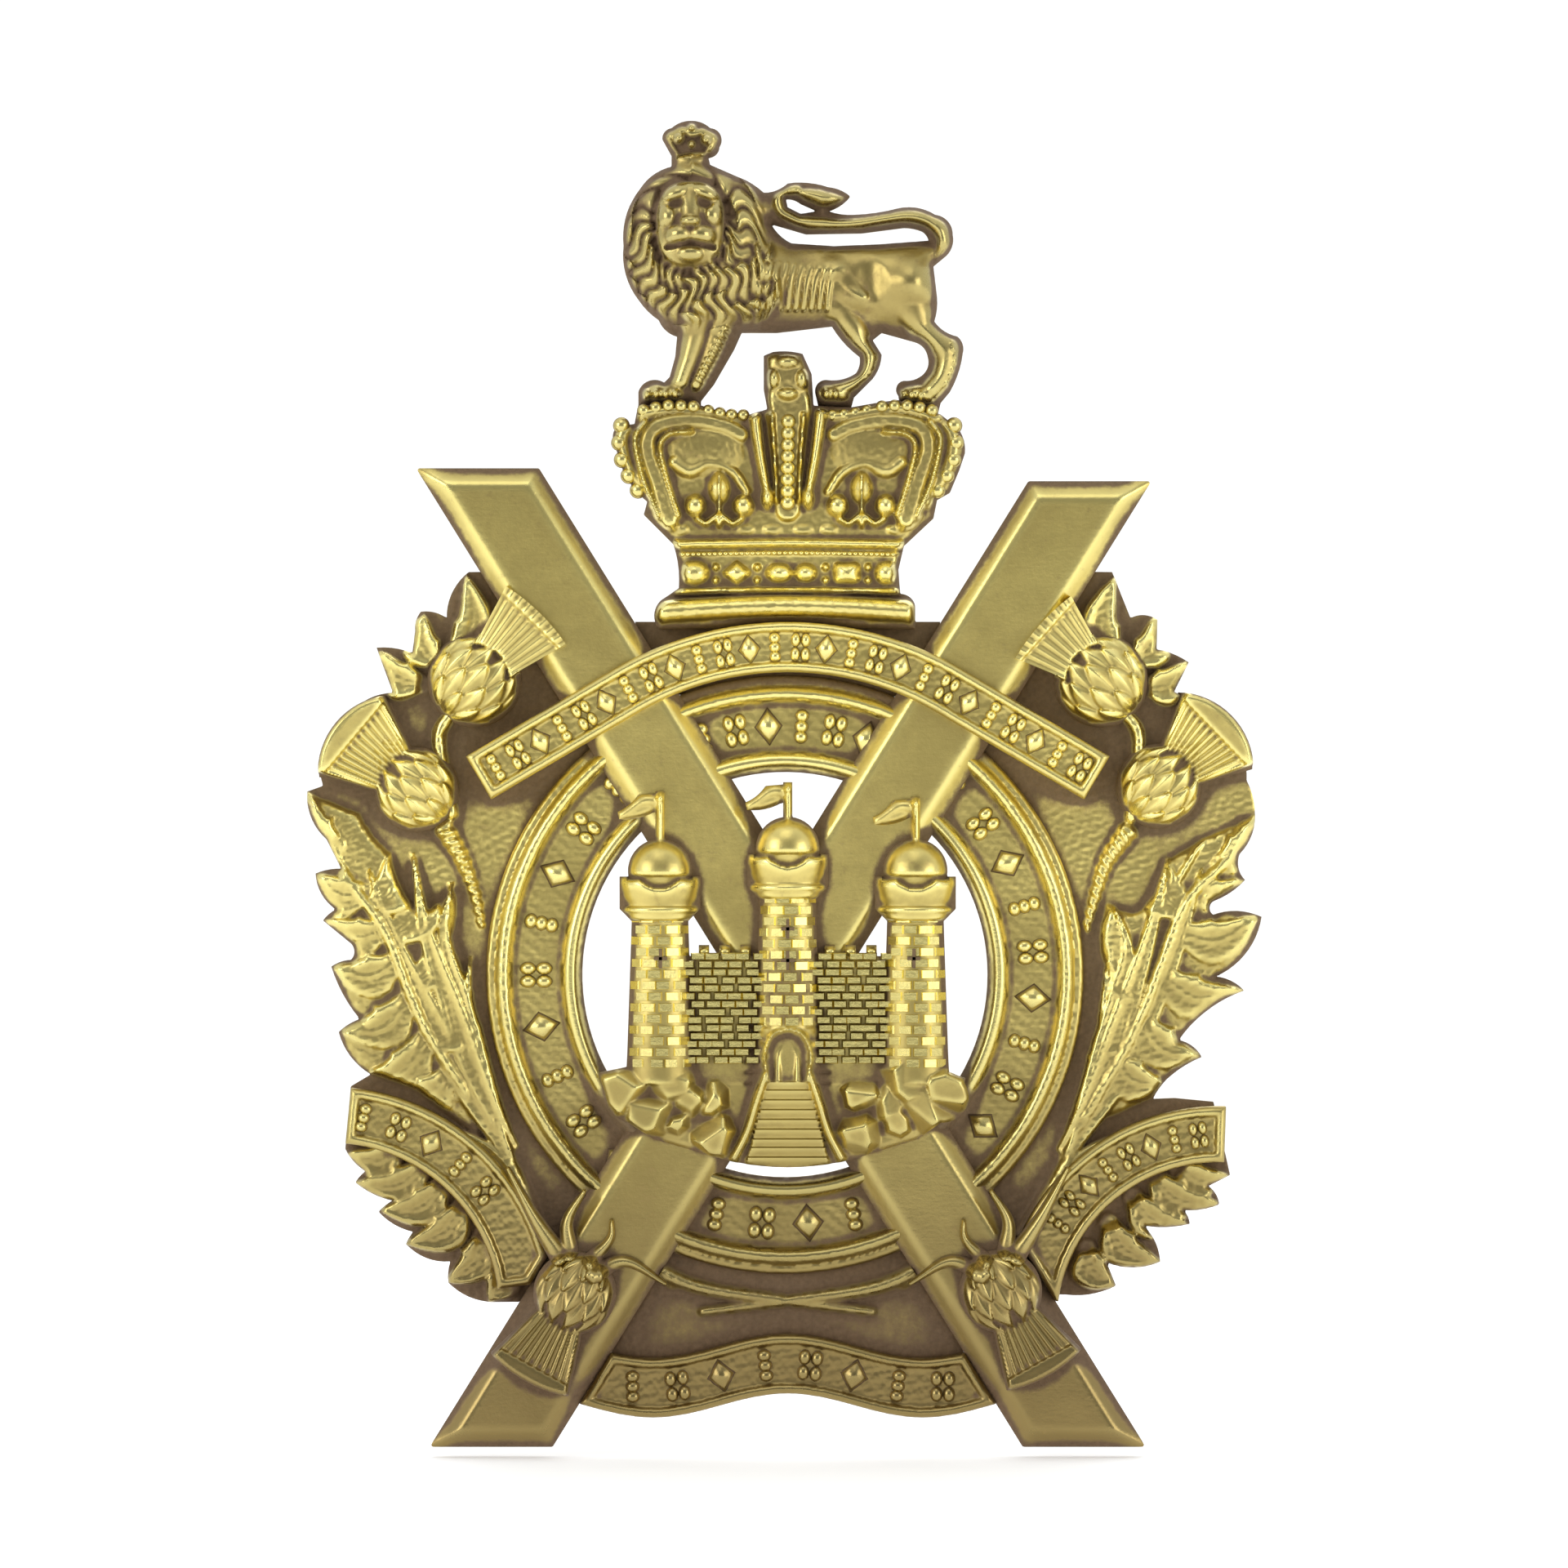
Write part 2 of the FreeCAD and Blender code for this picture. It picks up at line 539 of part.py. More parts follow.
# ---------------------------------------------------------------- crown
CROWN_DRAWN = (19.0, 14.9)   # the width and height that the crown's outlines are drawn at
CROWN_EDGE = [
    (-7.0, 0.0), (6.9, 0.0), (6.9, 1.2, -0.2), (6.1, 1.9), (6.0, 3.2), (6.3, 4.5), (7.9, 6.0),
    (8.1, 7.0), (8.8, 7.4), (9.3, 8.6), (9.6, 9.5, -0.1), (9.2, 10.9), (8.3, 11.6), (6.0, 12.4),
    (5.1, 12.3), (3.4, 12.0), (1.4, 12.1), (1.3, 13.8), (0.8, 14.9, -0.05), (-0.8, 15.0), (-1.3, 14.8),
    (-1.3, 13.0), (-1.1, 11.9), (-2.4, 11.5), (-4.0, 11.9), (-5.0, 12.2), (-8.1, 12.1), (-8.3, 11.1),
    (-9.2, 11.0, -0.15), (-9.45, 10.2), (-8.9, 8.5), (-8.3, 7.5), (-7.6, 6.9), (-7.8, 6.2),
    (-6.2, 4.6, 0.05), (-5.9, 2.2), (-6.8, 1.6, -0.2),
]
CROWN_HOLLOW = [
    (-5.0, 1.2), (5.0, 1.2), (5.0, 4.6), (7.2, 8.0), (7.2, 10.4), (-7.2, 10.4), (-7.2, 8.0), (-5.0, 4.6),
]
CROWN_BAND = [(-5.8, 2.0), (5.8, 2.0), (5.8, 4.5), (-5.8, 4.5)]
CROWN_MIDDLE = [(-1.0, 6.2), (1.0, 6.2), (1.9, 11.6), (-1.9, 11.6)]
CROWN_SIDE_ARCH = [(6.4, 5.9), (7.6, 9.0), (6.4, 11.2)]
CROWN_TOP_ARCH = [(6.2, 11.1), (4.2, 11.5), (2.2, 10.6)]


def on_crown(points):
    return raised(sized(points, CROWN_WIDE, CROWN_TALL, CROWN_DRAWN), CROWN_FOOT)


def crown_body():
    """The crown's outside: body, jewelled band, rolled base and raised arches."""
    roll = CROWN_WIDE * 0.34
    roll_z = CROWN_FOOT + ROLL_R + 0.2
    shapes = [
        slab(on_crown(CROWN_BAND), CROWN - 0.1, CROWN + 0.4),
        Part.makeCylinder(ROLL_R, 2 * roll, at(-roll, roll_z, CROWN - 0.2), Vector(1, 0, 0)),
        slab(on_crown(CROWN_MIDDLE), CROWN - 0.1, CROWN + CROWN_SWELL),
    ]
    for line, width in ((CROWN_SIDE_ARCH, 1.1), (CROWN_TOP_ARCH, 0.9)):
        for side in (-1, 1):
            path = on_crown([(side * x, z) for x, z in line])
            shapes.append(rib(path, width, CROWN - 0.05, CROWN + CROWN_SWELL * 0.8))
    return joined(slab(on_crown(CROWN_EDGE), 0, CROWN), *shapes)


def crown():
    """Hollow crown with a tang behind the upper scroll, between the saltire's arms."""
    upper = crown_body().cut(slab(on_crown(CROWN_HOLLOW), 0, CROWN - SHEET)).cut(top_scroll_block())
    tang_half = CROWN_WIDE * 0.46
    tang = block(-tang_half, tang_half, RING[1], CROWN_FOOT + 0.4, 0, WEB)
    shape = joined(upper, inside_quarter(tang)).cut(cross_block(0, FAR))
    return largest(shape.cut(ring_block(RIM)))


# ---------------------------------------------------------------- lion
LION_DRAWN = (18.4, 15.5)    # the width and height that the lion's outlines are drawn at
LION_EDGE = [
    (-8.1, -0.6), (-8.1, 0.8, 0.25), (-6.7, 1.3), (-6.4, 1.6), (-6.1, 2.7), (-6.0, 3.8, 0.12),
    (-7.0, 4.7, 0.05), (-8.1, 5.8, 0.1), (-8.9, 8.7, 0.1), (-8.0, 11.8, 0.1), (-6.3, 13.0), (-6.3, 13.6),
    (-6.8, 14.5, 0.2), (-6.3, 15.1, 0.1), (-5.2, 15.5, 0.1), (-4.2, 15.1, 0.3), (-3.7, 14.1, 0.2),
    (-4.3, 13.5), (-4.2, 13.1), (-2.6, 12.4, 0.05), (-1.3, 11.6, -0.1), (0.0, 12.1, 0.06), (2.2, 11.9, 0.08),
    (3.4, 11.4, 0.08), (2.2, 10.6, -0.05), (3.6, 10.4, -0.03), (6.0, 10.75, 0.1), (8.0, 10.4, 0.2),
    (8.95, 9.3, 0.15),
    (8.5, 8.1), (7.9, 7.6), (8.1, 5.9, 0.05), (7.95, 4.6, -0.1), (9.2, 3.8, 0.15), (9.5, 2.9, 0.05),
    (8.8, 0.8), (8.3, 0.2), (8.1, -0.6), (6.2, -0.6), (6.0, 0.6, 0.3), (6.3, 1.4, -0.1), (7.3, 1.7, -0.15),
    (7.6, 2.7, -0.15), (6.9, 3.5), (5.1, 4.0), (4.6, 3.6), (5.1, 2.8, 0.08), (4.6, 1.5), (3.6, 0.5),
    (3.3, -0.6), (1.8, -0.6), (1.5, 0.7, 0.25), (2.1, 1.45, -0.1), (3.7, 1.8, -0.1), (3.9, 2.7, 0.05),
    (2.4, 4.35), (-0.6, 4.0), (-2.5, 4.0), (-2.9, 3.1), (-4.0, 1.2), (-4.7, 0.3), (-4.7, -0.6),
]
TAIL_GAP = [
    (-0.9, 9.9), (1.0, 9.35), (4.0, 9.4), (6.3, 9.7, 0.05), (7.3, 9.5, 0.1), (7.65, 9.0), (5.0, 8.8),
    (2.5, 8.7), (0.2, 8.85, 0.08),
]
TUFT_GAP = [(-0.1, 11.25, 0.1), (0.7, 11.0), (1.6, 10.6), (0.7, 10.45), (0.0, 10.8)]
LION_TRUNK = [
    (-8.3, 8.7, 0.1), (-7.4, 11.7, 0.1), (-5.2, 12.7, 0.1), (-2.8, 11.5), (-1.4, 8.9), (0.4, 8.2),
    (6.2, 8.3, 0.1), (7.6, 6.7, 0.1), (7.2, 5.1), (5.0, 4.7), (2.4, 5.1), (-1.8, 4.7), (-3.6, 4.9),
    (-5.6, 4.4, 0.05), (-7.3, 5.7, 0.08),
]
TRUNK_TAPER = 0.82           # size of the trunk's top over its foot


def lion():
    """Standing lion: limbs and tail as a plate, trunk and mane raised, its paws on the crown's arches."""
    foot = CROWN_FOOT + PAWS * CROWN_TALL
    edge, tail_gap, tuft_gap, trunk = (
        raised(sized(points, LION_WIDE, LION_TALL, LION_DRAWN), foot)
        for points in (LION_EDGE, TAIL_GAP, TUFT_GAP, LION_TRUNK)
    )
    plate = slab(edge, LION_BACK, LION).cut(slab(tail_gap, 0, FAR)).cut(slab(tuft_gap, 0, FAR))
    low = wire(trunk)
    low.translate(Vector(0, -LION, 0))
    centre = low.BoundBox.Center
    taper = FreeCAD.Matrix()
    taper.move(Vector(-centre.x, 0, -centre.z))
    taper.scale(Vector(TRUNK_TAPER, 1, TRUNK_TAPER))
    taper.move(Vector(centre.x, -LION_SWELL, centre.z))
    swell = Part.makeLoft([low, low.transformGeometry(taper)], True, True)
    shape = joined(plate, slab(trunk, LION_BACK, LION), swell)
    return largest(shape.cut(slab(on_crown(CROWN_EDGE), 0, FAR)))


# ---------------------------------------------------------------- loops and pin
def loop(x):
    """Wire staple that stands on the back, its opening along X."""
    height = LOOP_TALL - WIRE / 2
    half = LOOP_WIDE / 2
    z = LOOP_ABOVE_CROSSING
    start = Vector(x, 0, z - half)
    corner = height - half
    edges = [
        Part.makeLine(start, Vector(x, corner, z - half)),
        Part.Arc(Vector(x, corner, z - half), Vector(x, height, z), Vector(x, corner, z + half)).toShape(),
        Part.makeLine(Vector(x, corner, z + half), Vector(x, 0, z + half)),
    ]
    ring = Part.Wire([Part.makeCircle(WIRE / 2, start, Vector(0, 1, 0))])
    return Part.Wire(edges).makePipeShell([ring], True, True)


def solder(x):
    """Two fillets of solder round a loop's legs."""
    fillets = [
        Part.makeCone(SOLDER_R, WIRE / 2 + 0.15, SOLDER_TALL, Vector(x, 0, foot), Vector(0, 1, 0))
        for foot in (LOOP_ABOVE_CROSSING - LOOP_WIDE / 2, LOOP_ABOVE_CROSSING + LOOP_WIDE / 2)
    ]
    return Part.makeCompound(fillets).cut(loop(x))


def split_pin():
    """Split pin of folded half-round wire: an eye, two legs that lie together, and tapered tips."""
    y = LOOP_TALL - WIRE - PIN_WIRE / 2 - PIN_CLEAR
    z = LOOP_ABOVE_CROSSING
    end = PIN_FROM + PIN_LENGTH
    along = Vector(1, 0, 0)
    rod = Part.makeCylinder(PIN_WIRE / 2, PIN_LENGTH - PIN_TIP, Vector(PIN_FROM + PIN_TIP, y, z), along)
    tip = Part.makeCone(PIN_WIRE / 5, PIN_WIRE / 2, PIN_TIP, Vector(PIN_FROM, y, z), along)
    ring_r = PIN_EYE_R - PIN_EYE_WIRE / 2
    middle = Vector(end + ring_r - PIN_EYE_WIRE / 2, y, z)
    eye = Part.makeTorus(ring_r, PIN_EYE_WIRE / 2, middle, Vector(0, 1, 0))
    split = Part.makeBox(PIN_LENGTH - PIN_EYE_WIRE, PIN_WIRE * 2, PIN_SPLIT,
                         Vector(PIN_FROM - PIN_TIP, y - PIN_WIRE, z - PIN_SPLIT / 2))
    return largest(joined(rod, tip, eye).cut(split))


# ---------------------------------------------------------------- assembly
def build():
    half_span = LOOP_SPAN / 2
    parts = {
        "saltire": saltire(),
        "circlet": circlet(),
        "top_scroll": top_scroll(),
        "left_scroll": side_scroll(LEFT_SCROLL, LEFT_SCROLL_R, LEFT_SCROLL_SWEEP),
        "right_scroll": side_scroll(RIGHT_SCROLL, RIGHT_SCROLL_R, RIGHT_SCROLL_SWEEP),
        "bottom_scroll": bottom_scroll(),
        "bottom_web": bottom_web(),
        "left_spray": left_spray(),
        "right_spray": right_spray(),
        "castle": castle(),
        "crown": crown(),
        "lion": lion(),
        "left_loop": loop(-half_span),
        "right_loop": loop(half_span),
        "left_solder": solder(-half_span),
        "right_solder": solder(half_span),
        "split_pin": split_pin(),
    }
    parts.update(thistles())
    return parts


def main():
    os.makedirs(OUT, exist_ok=True)
    for name, shape in sorted(build().items()):
        shape.translate(Vector(0, 0, -LOOP_ABOVE_CROSSING))
        print(name, round(shape.Volume, 2), "mm3", len(shape.Solids), "solid, valid", shape.isValid())
        shape.exportStep(os.path.join(OUT, name + ".step"))


main()
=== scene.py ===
import json
import math

import bpy
import numpy as np
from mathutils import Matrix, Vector

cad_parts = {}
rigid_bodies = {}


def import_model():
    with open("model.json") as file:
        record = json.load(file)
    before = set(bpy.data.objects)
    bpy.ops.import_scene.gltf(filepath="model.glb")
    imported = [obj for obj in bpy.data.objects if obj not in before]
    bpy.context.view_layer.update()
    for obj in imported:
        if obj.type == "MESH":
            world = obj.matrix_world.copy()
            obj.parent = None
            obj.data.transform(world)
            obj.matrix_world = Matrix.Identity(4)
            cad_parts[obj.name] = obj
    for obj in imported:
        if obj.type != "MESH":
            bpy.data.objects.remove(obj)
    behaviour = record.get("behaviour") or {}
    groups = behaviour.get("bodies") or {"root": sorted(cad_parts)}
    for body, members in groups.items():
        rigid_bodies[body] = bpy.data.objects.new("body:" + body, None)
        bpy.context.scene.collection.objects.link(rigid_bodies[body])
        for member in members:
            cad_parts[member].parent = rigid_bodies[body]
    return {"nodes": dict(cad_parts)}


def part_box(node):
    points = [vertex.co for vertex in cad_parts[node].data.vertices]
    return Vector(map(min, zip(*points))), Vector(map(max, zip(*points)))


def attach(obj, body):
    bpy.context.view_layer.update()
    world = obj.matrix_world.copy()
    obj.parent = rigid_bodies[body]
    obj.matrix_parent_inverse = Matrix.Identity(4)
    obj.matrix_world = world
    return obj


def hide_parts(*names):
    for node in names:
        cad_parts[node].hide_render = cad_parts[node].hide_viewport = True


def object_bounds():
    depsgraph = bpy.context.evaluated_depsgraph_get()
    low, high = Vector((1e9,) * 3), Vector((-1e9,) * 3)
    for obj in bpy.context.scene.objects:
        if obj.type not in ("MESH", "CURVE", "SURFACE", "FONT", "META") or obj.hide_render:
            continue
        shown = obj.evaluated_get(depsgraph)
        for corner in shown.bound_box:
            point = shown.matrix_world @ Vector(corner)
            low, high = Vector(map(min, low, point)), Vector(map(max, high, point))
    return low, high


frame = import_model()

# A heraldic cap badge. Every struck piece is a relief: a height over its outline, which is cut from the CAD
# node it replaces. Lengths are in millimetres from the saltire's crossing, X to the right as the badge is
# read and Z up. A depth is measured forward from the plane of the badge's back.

CAD_LOW, CAD_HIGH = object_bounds()
MM = 0.001
ARM_FOOT = 25.9                                   # of the saltire below its crossing
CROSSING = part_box("saltire")[0].z / MM + ARM_FOOT  # height of the crossing in the row frame
FINE = 1.0                 # coarser grids while trying things

# depths of the layers
WEB = 0.8
RING_FLOOR = 1.2
RING_RIM = 2.0
FACE = -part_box("saltire")[0].y / MM
SHEET = 0.8
THINNEST = 0.15
BEVEL = 0.9
SCROLL_FACE = FACE + 0.5

# how far round a point the dirt and painted shade look for what stands above it, in millimetres
WIDE_HOLLOW, NEAR_HOLLOW, FINE_HOLLOW, SMALL_HOLLOW = 1.3, 0.55, 0.22, 0.1
BACK_DIRT, BACK_WORN = 0.35, 0.14


def add(name, data):
    """An object that shows some data and is in the scene."""
    made = bpy.data.objects.new(name, data)
    bpy.context.scene.collection.objects.link(made)
    return made


# ---------------------------------------------------------------- outlines from the frame
def row_point(x, z, depth):
    """Badge millimetres to the row frame's metres."""
    return (x * MM, -depth * MM, (CROSSING + z) * MM)


def node_triangles(node):
    """A CAD node's triangles as (x, z, depth) corners."""
    mesh = frame["nodes"][node].data
    mesh.calc_loop_triangles()
    co = np.array([v.co for v in mesh.vertices], float) / MM
    corners = np.array([t.vertices for t in mesh.loop_triangles])
    return np.stack([co[corners][..., 0], co[corners][..., 2] - CROSSING, -co[corners][..., 1]], -1)


def section(node, depth):
    """The lines where a CAD node is cut at a depth, as (start, end) points."""
    tri = node_triangles(node)
    above = tri[..., 2] > depth + 1e-5
    tri, above = tri[above.any(1) & ~above.all(1)], above[above.any(1) & ~above.all(1)]
    ends = []
    for i, j in ((0, 1), (1, 2), (2, 0)):
        a, b = tri[:, i], tri[:, j]
        rise = np.where(above[:, i] != above[:, j], b[:, 2] - a[:, 2], 1.0)
        at = (depth + 1e-5 - a[:, 2]) / rise
        cut = a[:, :2] + (b - a)[:, :2] * at[:, None]
        ends.append(np.where((above[:, i] != above[:, j])[:, None], cut, np.nan))
    ends = np.stack(ends, 1)
    real = ~np.isnan(ends[..., 0])
    return ends[real].reshape(-1, 2, 2)


def blurred(values, mask, cells):
    """Mean over about that many cells each way, of what the mask holds."""
    width = max(1, int(round(cells)))
    top, bottom = values * mask, mask.astype(float)
    for _ in range(2):
        for axis in (0, 1):
            sums = []
            for field in (top, bottom):
                pad = [(0, 0), (0, 0)]
                pad[axis] = (width + 1, width)
                run = np.cumsum(np.pad(field, pad, mode="edge"), axis)
                n = field.shape[axis]
                ahead = np.take(run, np.arange(n) + 2 * width + 1, axis)
                sums.append((ahead - np.take(run, np.arange(n), axis)) / (2 * width + 1))
            top, bottom = sums
    return np.where(bottom > 1e-6, top / np.maximum(bottom, 1e-6), values)


def smooth_line(points, step=0.12):
    """Points along a smooth curve through the ones given."""
    p = np.array(points, float)
    if len(p) < 3:
        n = max(2, int(np.linalg.norm(p[1] - p[0]) / step) + 1)
        return p[0] + (p[1] - p[0]) * np.linspace(0, 1, n)[:, None]
    p = np.vstack([2 * p[0] - p[1], p, 2 * p[-1] - p[-2]])
    out = []
    for a, b, c, d in zip(p, p[1:], p[2:], p[3:]):
        n = max(2, int(np.linalg.norm(c - b) / step) + 1)
        t = np.linspace(0, 1, n, endpoint=False)[:, None]
        bend = (2 * a - 5 * b + 4 * c - d) * t ** 2 + (3 * b - a - 3 * c + d) * t ** 3
        out.append(0.5 * (2 * b + (c - a) * t + bend))
    return np.vstack([*out, p[-2:-1]])


def grain(x, z, scale, seed):
    """Smooth random field of about -1 to 1, the size of its lumps given in millimetres."""
    rng = np.random.default_rng(seed)
    total = np.zeros_like(x)
    for _ in range(10):
        turn, phase = rng.uniform(0, 2 * math.pi, 2)
        rate = 2 * math.pi / scale * rng.uniform(0.6, 1.5)
        bend = 0.6 * np.sin((x * math.sin(turn) - z * math.cos(turn)) * rate * 0.7 + phase)
        total += np.sin((x * math.cos(turn) + z * math.sin(turn)) * rate + phase + bend)
    return total / 4.5


def smax(a, b, soft):
    """The greater of two heights, with a soft crease between them."""
    return 0.5 * (a + b + np.sqrt((a - b) ** 2 + soft * soft))


def dome(u):
    """Profile of a half circle: 1 in the middle and 0 from u = 1 on."""
    return np.sqrt(np.maximum(0, 1 - u * u))


def shoulder(inside, radius):
    """Quarter round from 0 at an edge to 1 at a radius inside it."""
    return dome(1 - np.clip(inside / radius, 0, 1))


def ramp(value, low, high):
    """Smooth step from 0 at low to 1 at high."""
    t = np.clip((value - low) / (high - low), 0, 1)
    return t * t * (3 - 2 * t)


# ---------------------------------------------------------------- the relief grid
class Relief:
    """A grid over one piece, with the distance inside its outline and helpers that raise shapes on it."""

    def __init__(self, lines, pitch, grow=0.0, also=None):
        outlines = [lines] if also is None else [lines, also]
        lines = np.concatenate(outlines)
        self.pitch = pitch * FINE
        low, high = lines.min((0, 1)) - 4 * self.pitch, lines.max((0, 1)) + 4 * self.pitch
        self.xs = np.arange(low[0], high[0] + self.pitch, self.pitch)
        self.zs = np.arange(low[1], high[1] + self.pitch, self.pitch)
        self.x, self.z = np.meshgrid(self.xs, self.zs)
        self.inside = np.maximum.reduce([self.distance(outline) for outline in outlines]) + grow
        self.height = np.zeros_like(self.x)
        self.soil_and_shade = np.zeros_like(self.x)       # dirt and painted shade beyond what the hollows gather

    def distance(self, lines):
        """Distance to the lines, positive where they enclose a point."""
        best = np.full(self.x.shape, 1e9)
        within = np.zeros(self.x.shape, bool)
        for (ax, az), (bx, bz) in lines:
            dx, dz = bx - ax, bz - az
            t = np.clip(((self.x - ax) * dx + (self.z - az) * dz) / max(dx * dx + dz * dz, 1e-12), 0, 1)
            np.minimum(best, (self.x - ax - t * dx) ** 2 + (self.z - az - t * dz) ** 2, out=best)
            rows = np.flatnonzero((self.zs > min(az, bz)) & (self.zs <= max(az, bz)))
            if len(rows):
                cross = ax + (self.zs[rows] - az) * dx / dz
                within[rows] ^= self.xs[None, :] < cross[:, None]
        return np.sqrt(best) * np.where(within, 1, -1)

    def blank(self):
        return np.zeros_like(self.x)

    def window(self, x, z, margin):
        """The part of the grid round some points."""
        i0, i1 = np.searchsorted(self.zs, (np.min(z) - margin, np.max(z) + margin))
        j0, j1 = np.searchsorted(self.xs, (np.min(x) - margin, np.max(x) + margin))
        return np.s_[i0:i1, j0:j1]

    def follow(self, points, margin):
        """The part of the grid near a smooth line, and there the gap to it, the share and the length run
        along it, and the distance to its right."""
        line = smooth_line(points)
        part = self.window(line[:, 0], line[:, 1], margin)
        x, z = self.x[part], self.z[part]
        run = np.concatenate([[0], np.cumsum(np.linalg.norm(np.diff(line, axis=0), axis=1))])
        gap, along, across = np.full(x.shape, 1e9), np.zeros(x.shape), np.zeros(x.shape)
        for k in range(len(line) - 1):
            (ax, az), (dx, dz) = line[k], line[k + 1] - line[k]
            size = math.hypot(dx, dz)
            if size < 1e-9:
                continue
            t = np.clip(((x - ax) * dx + (z - az) * dz) / size ** 2, 0, 1)
            here = np.hypot(x - ax - t * dx, z - az - t * dz)
            near = here < gap
            gap = np.where(near, here, gap)
            along = np.where(near, run[k] + t * size, along)
            across = np.where(near, ((x - ax) * dz - (z - az) * dx) / size, across)
        return part, gap, along / run[-1], along, across

    def stroke(self, layer, points, wide, high, flat=0.0, twist=None):
        """Raises a rounded ridge along a smooth line. Its half width and height run from start to end.

        flat is the share of the width that stays level, and twist (turns per mm, depth) cuts a rope's lay."""
        wide, high = np.broadcast_to(wide, 2), np.broadcast_to(high, 2)
        part, gap, share, along, across = self.follow(points, max(wide))
        if not gap.size:
            return layer
        half = wide[0] + (wide[1] - wide[0]) * share
        rise = high[0] + (high[1] - high[0]) * share
        u = np.clip((gap / np.maximum(half, 1e-6) - flat) / (1 - flat), 0, 1)
        shape = dome(u) * rise * (gap < half)
        if twist:
            lay = 0.5 + 0.5 * np.cos(2 * math.pi * (along * twist[0] + across / half * 0.35))
            shape -= twist[1] * lay * (shape > 0)
        layer[part] = np.maximum(layer[part], shape)
        return layer

    def strokes(self, layer, rows, side=1):
        """Strokes from rows of (points, half widths, heights), mirrored when the side is -1."""
        for points, wide, high in rows:
            self.stroke(layer, [(side * x, z) for x, z in points], wide, high)
        return layer

    def turned(self, x, z, rx, rz, turn):
        """The part of the grid round an ellipse turned anticlockwise by some degrees, and the distances from
        its middle there, as shares of its half axes."""
        part = self.window(np.array([x]), np.array([z]), max(rx, rz))
        c, s = math.cos(math.radians(turn)), math.sin(math.radians(turn))
        dx, dz = self.x[part] - x, self.z[part] - z
        return part, (dx * c + dz * s) / rx, (dz * c - dx * s) / rz

    def bead(self, layer, x, z, rx, rz, high, turn=0.0, power=2.0):
        """Raises a dome on an ellipse."""
        part, a, b = self.turned(x, z, rx, rz, turn)
        u = (np.abs(a) ** power + np.abs(b) ** power) ** (1 / power)
        layer[part] = np.maximum(layer[part], dome(u) * high)
        return layer

    def swell(self, layer, x, z, rx, rz, high, turn=0.0):
        """Adds a soft bump, level at its rim."""
        part, a, b = self.turned(x, z, rx, rz, turn)
        layer[part] += high * np.maximum(0, 1 - (a ** 2 + b ** 2)) ** 2

    def sample(self, field, x, z):
        """A field's value at other points, by the nearest four."""
        fx = np.clip((x - self.xs[0]) / self.pitch, 0, len(self.xs) - 1.001)
        fz = np.clip((z - self.zs[0]) / self.pitch, 0, len(self.zs) - 1.001)
        j, i = fx.astype(int), fz.astype(int)
        u, v = fx - j, fz - i
        low = field[i, j] * (1 - u) + field[i, j + 1] * u
        return low * (1 - v) + (field[i + 1, j] * (1 - u) + field[i + 1, j + 1] * u) * v


def rectangle_lines(low, high):
    """A rectangle's four sides as lines."""
    corners = np.array([(low[0], low[1]), (high[0], low[1]), (high[0], high[1]), (low[0], high[1])], float)
    return np.stack([corners, np.roll(corners, -1, 0)], 1)


# The whole badge's front as one height map, which pieces lie on and whose hollows hold the dirt and the
# painted shade.
GROUND = Relief(rectangle_lines(*((end.x / MM, end.z / MM - CROSSING) for end in (CAD_LOW, CAD_HIGH))), 0.12)


def lay_down(relief):
    """Adds a piece to the whole badge's height map."""
    part = GROUND.window(relief.xs, relief.zs, 0)
    x, z = GROUND.x[part], GROUND.z[part]
    over = relief.sample(relief.height, x, z) * (relief.sample(relief.inside, x, z) > 0)
    GROUND.height[part] = np.maximum(GROUND.height[part], over)


reliefs = []


def struck(name, relief, back, replaces):
    """Softens a finished relief a little, and keeps it until every piece is there to work out its dirt and
    painted shade.
    """
    relief.height = 0.5 * (relief.height + blurred(relief.height, relief.inside > 0, 1))
    lay_down(relief)
    reliefs.append((name, relief, back, replaces))


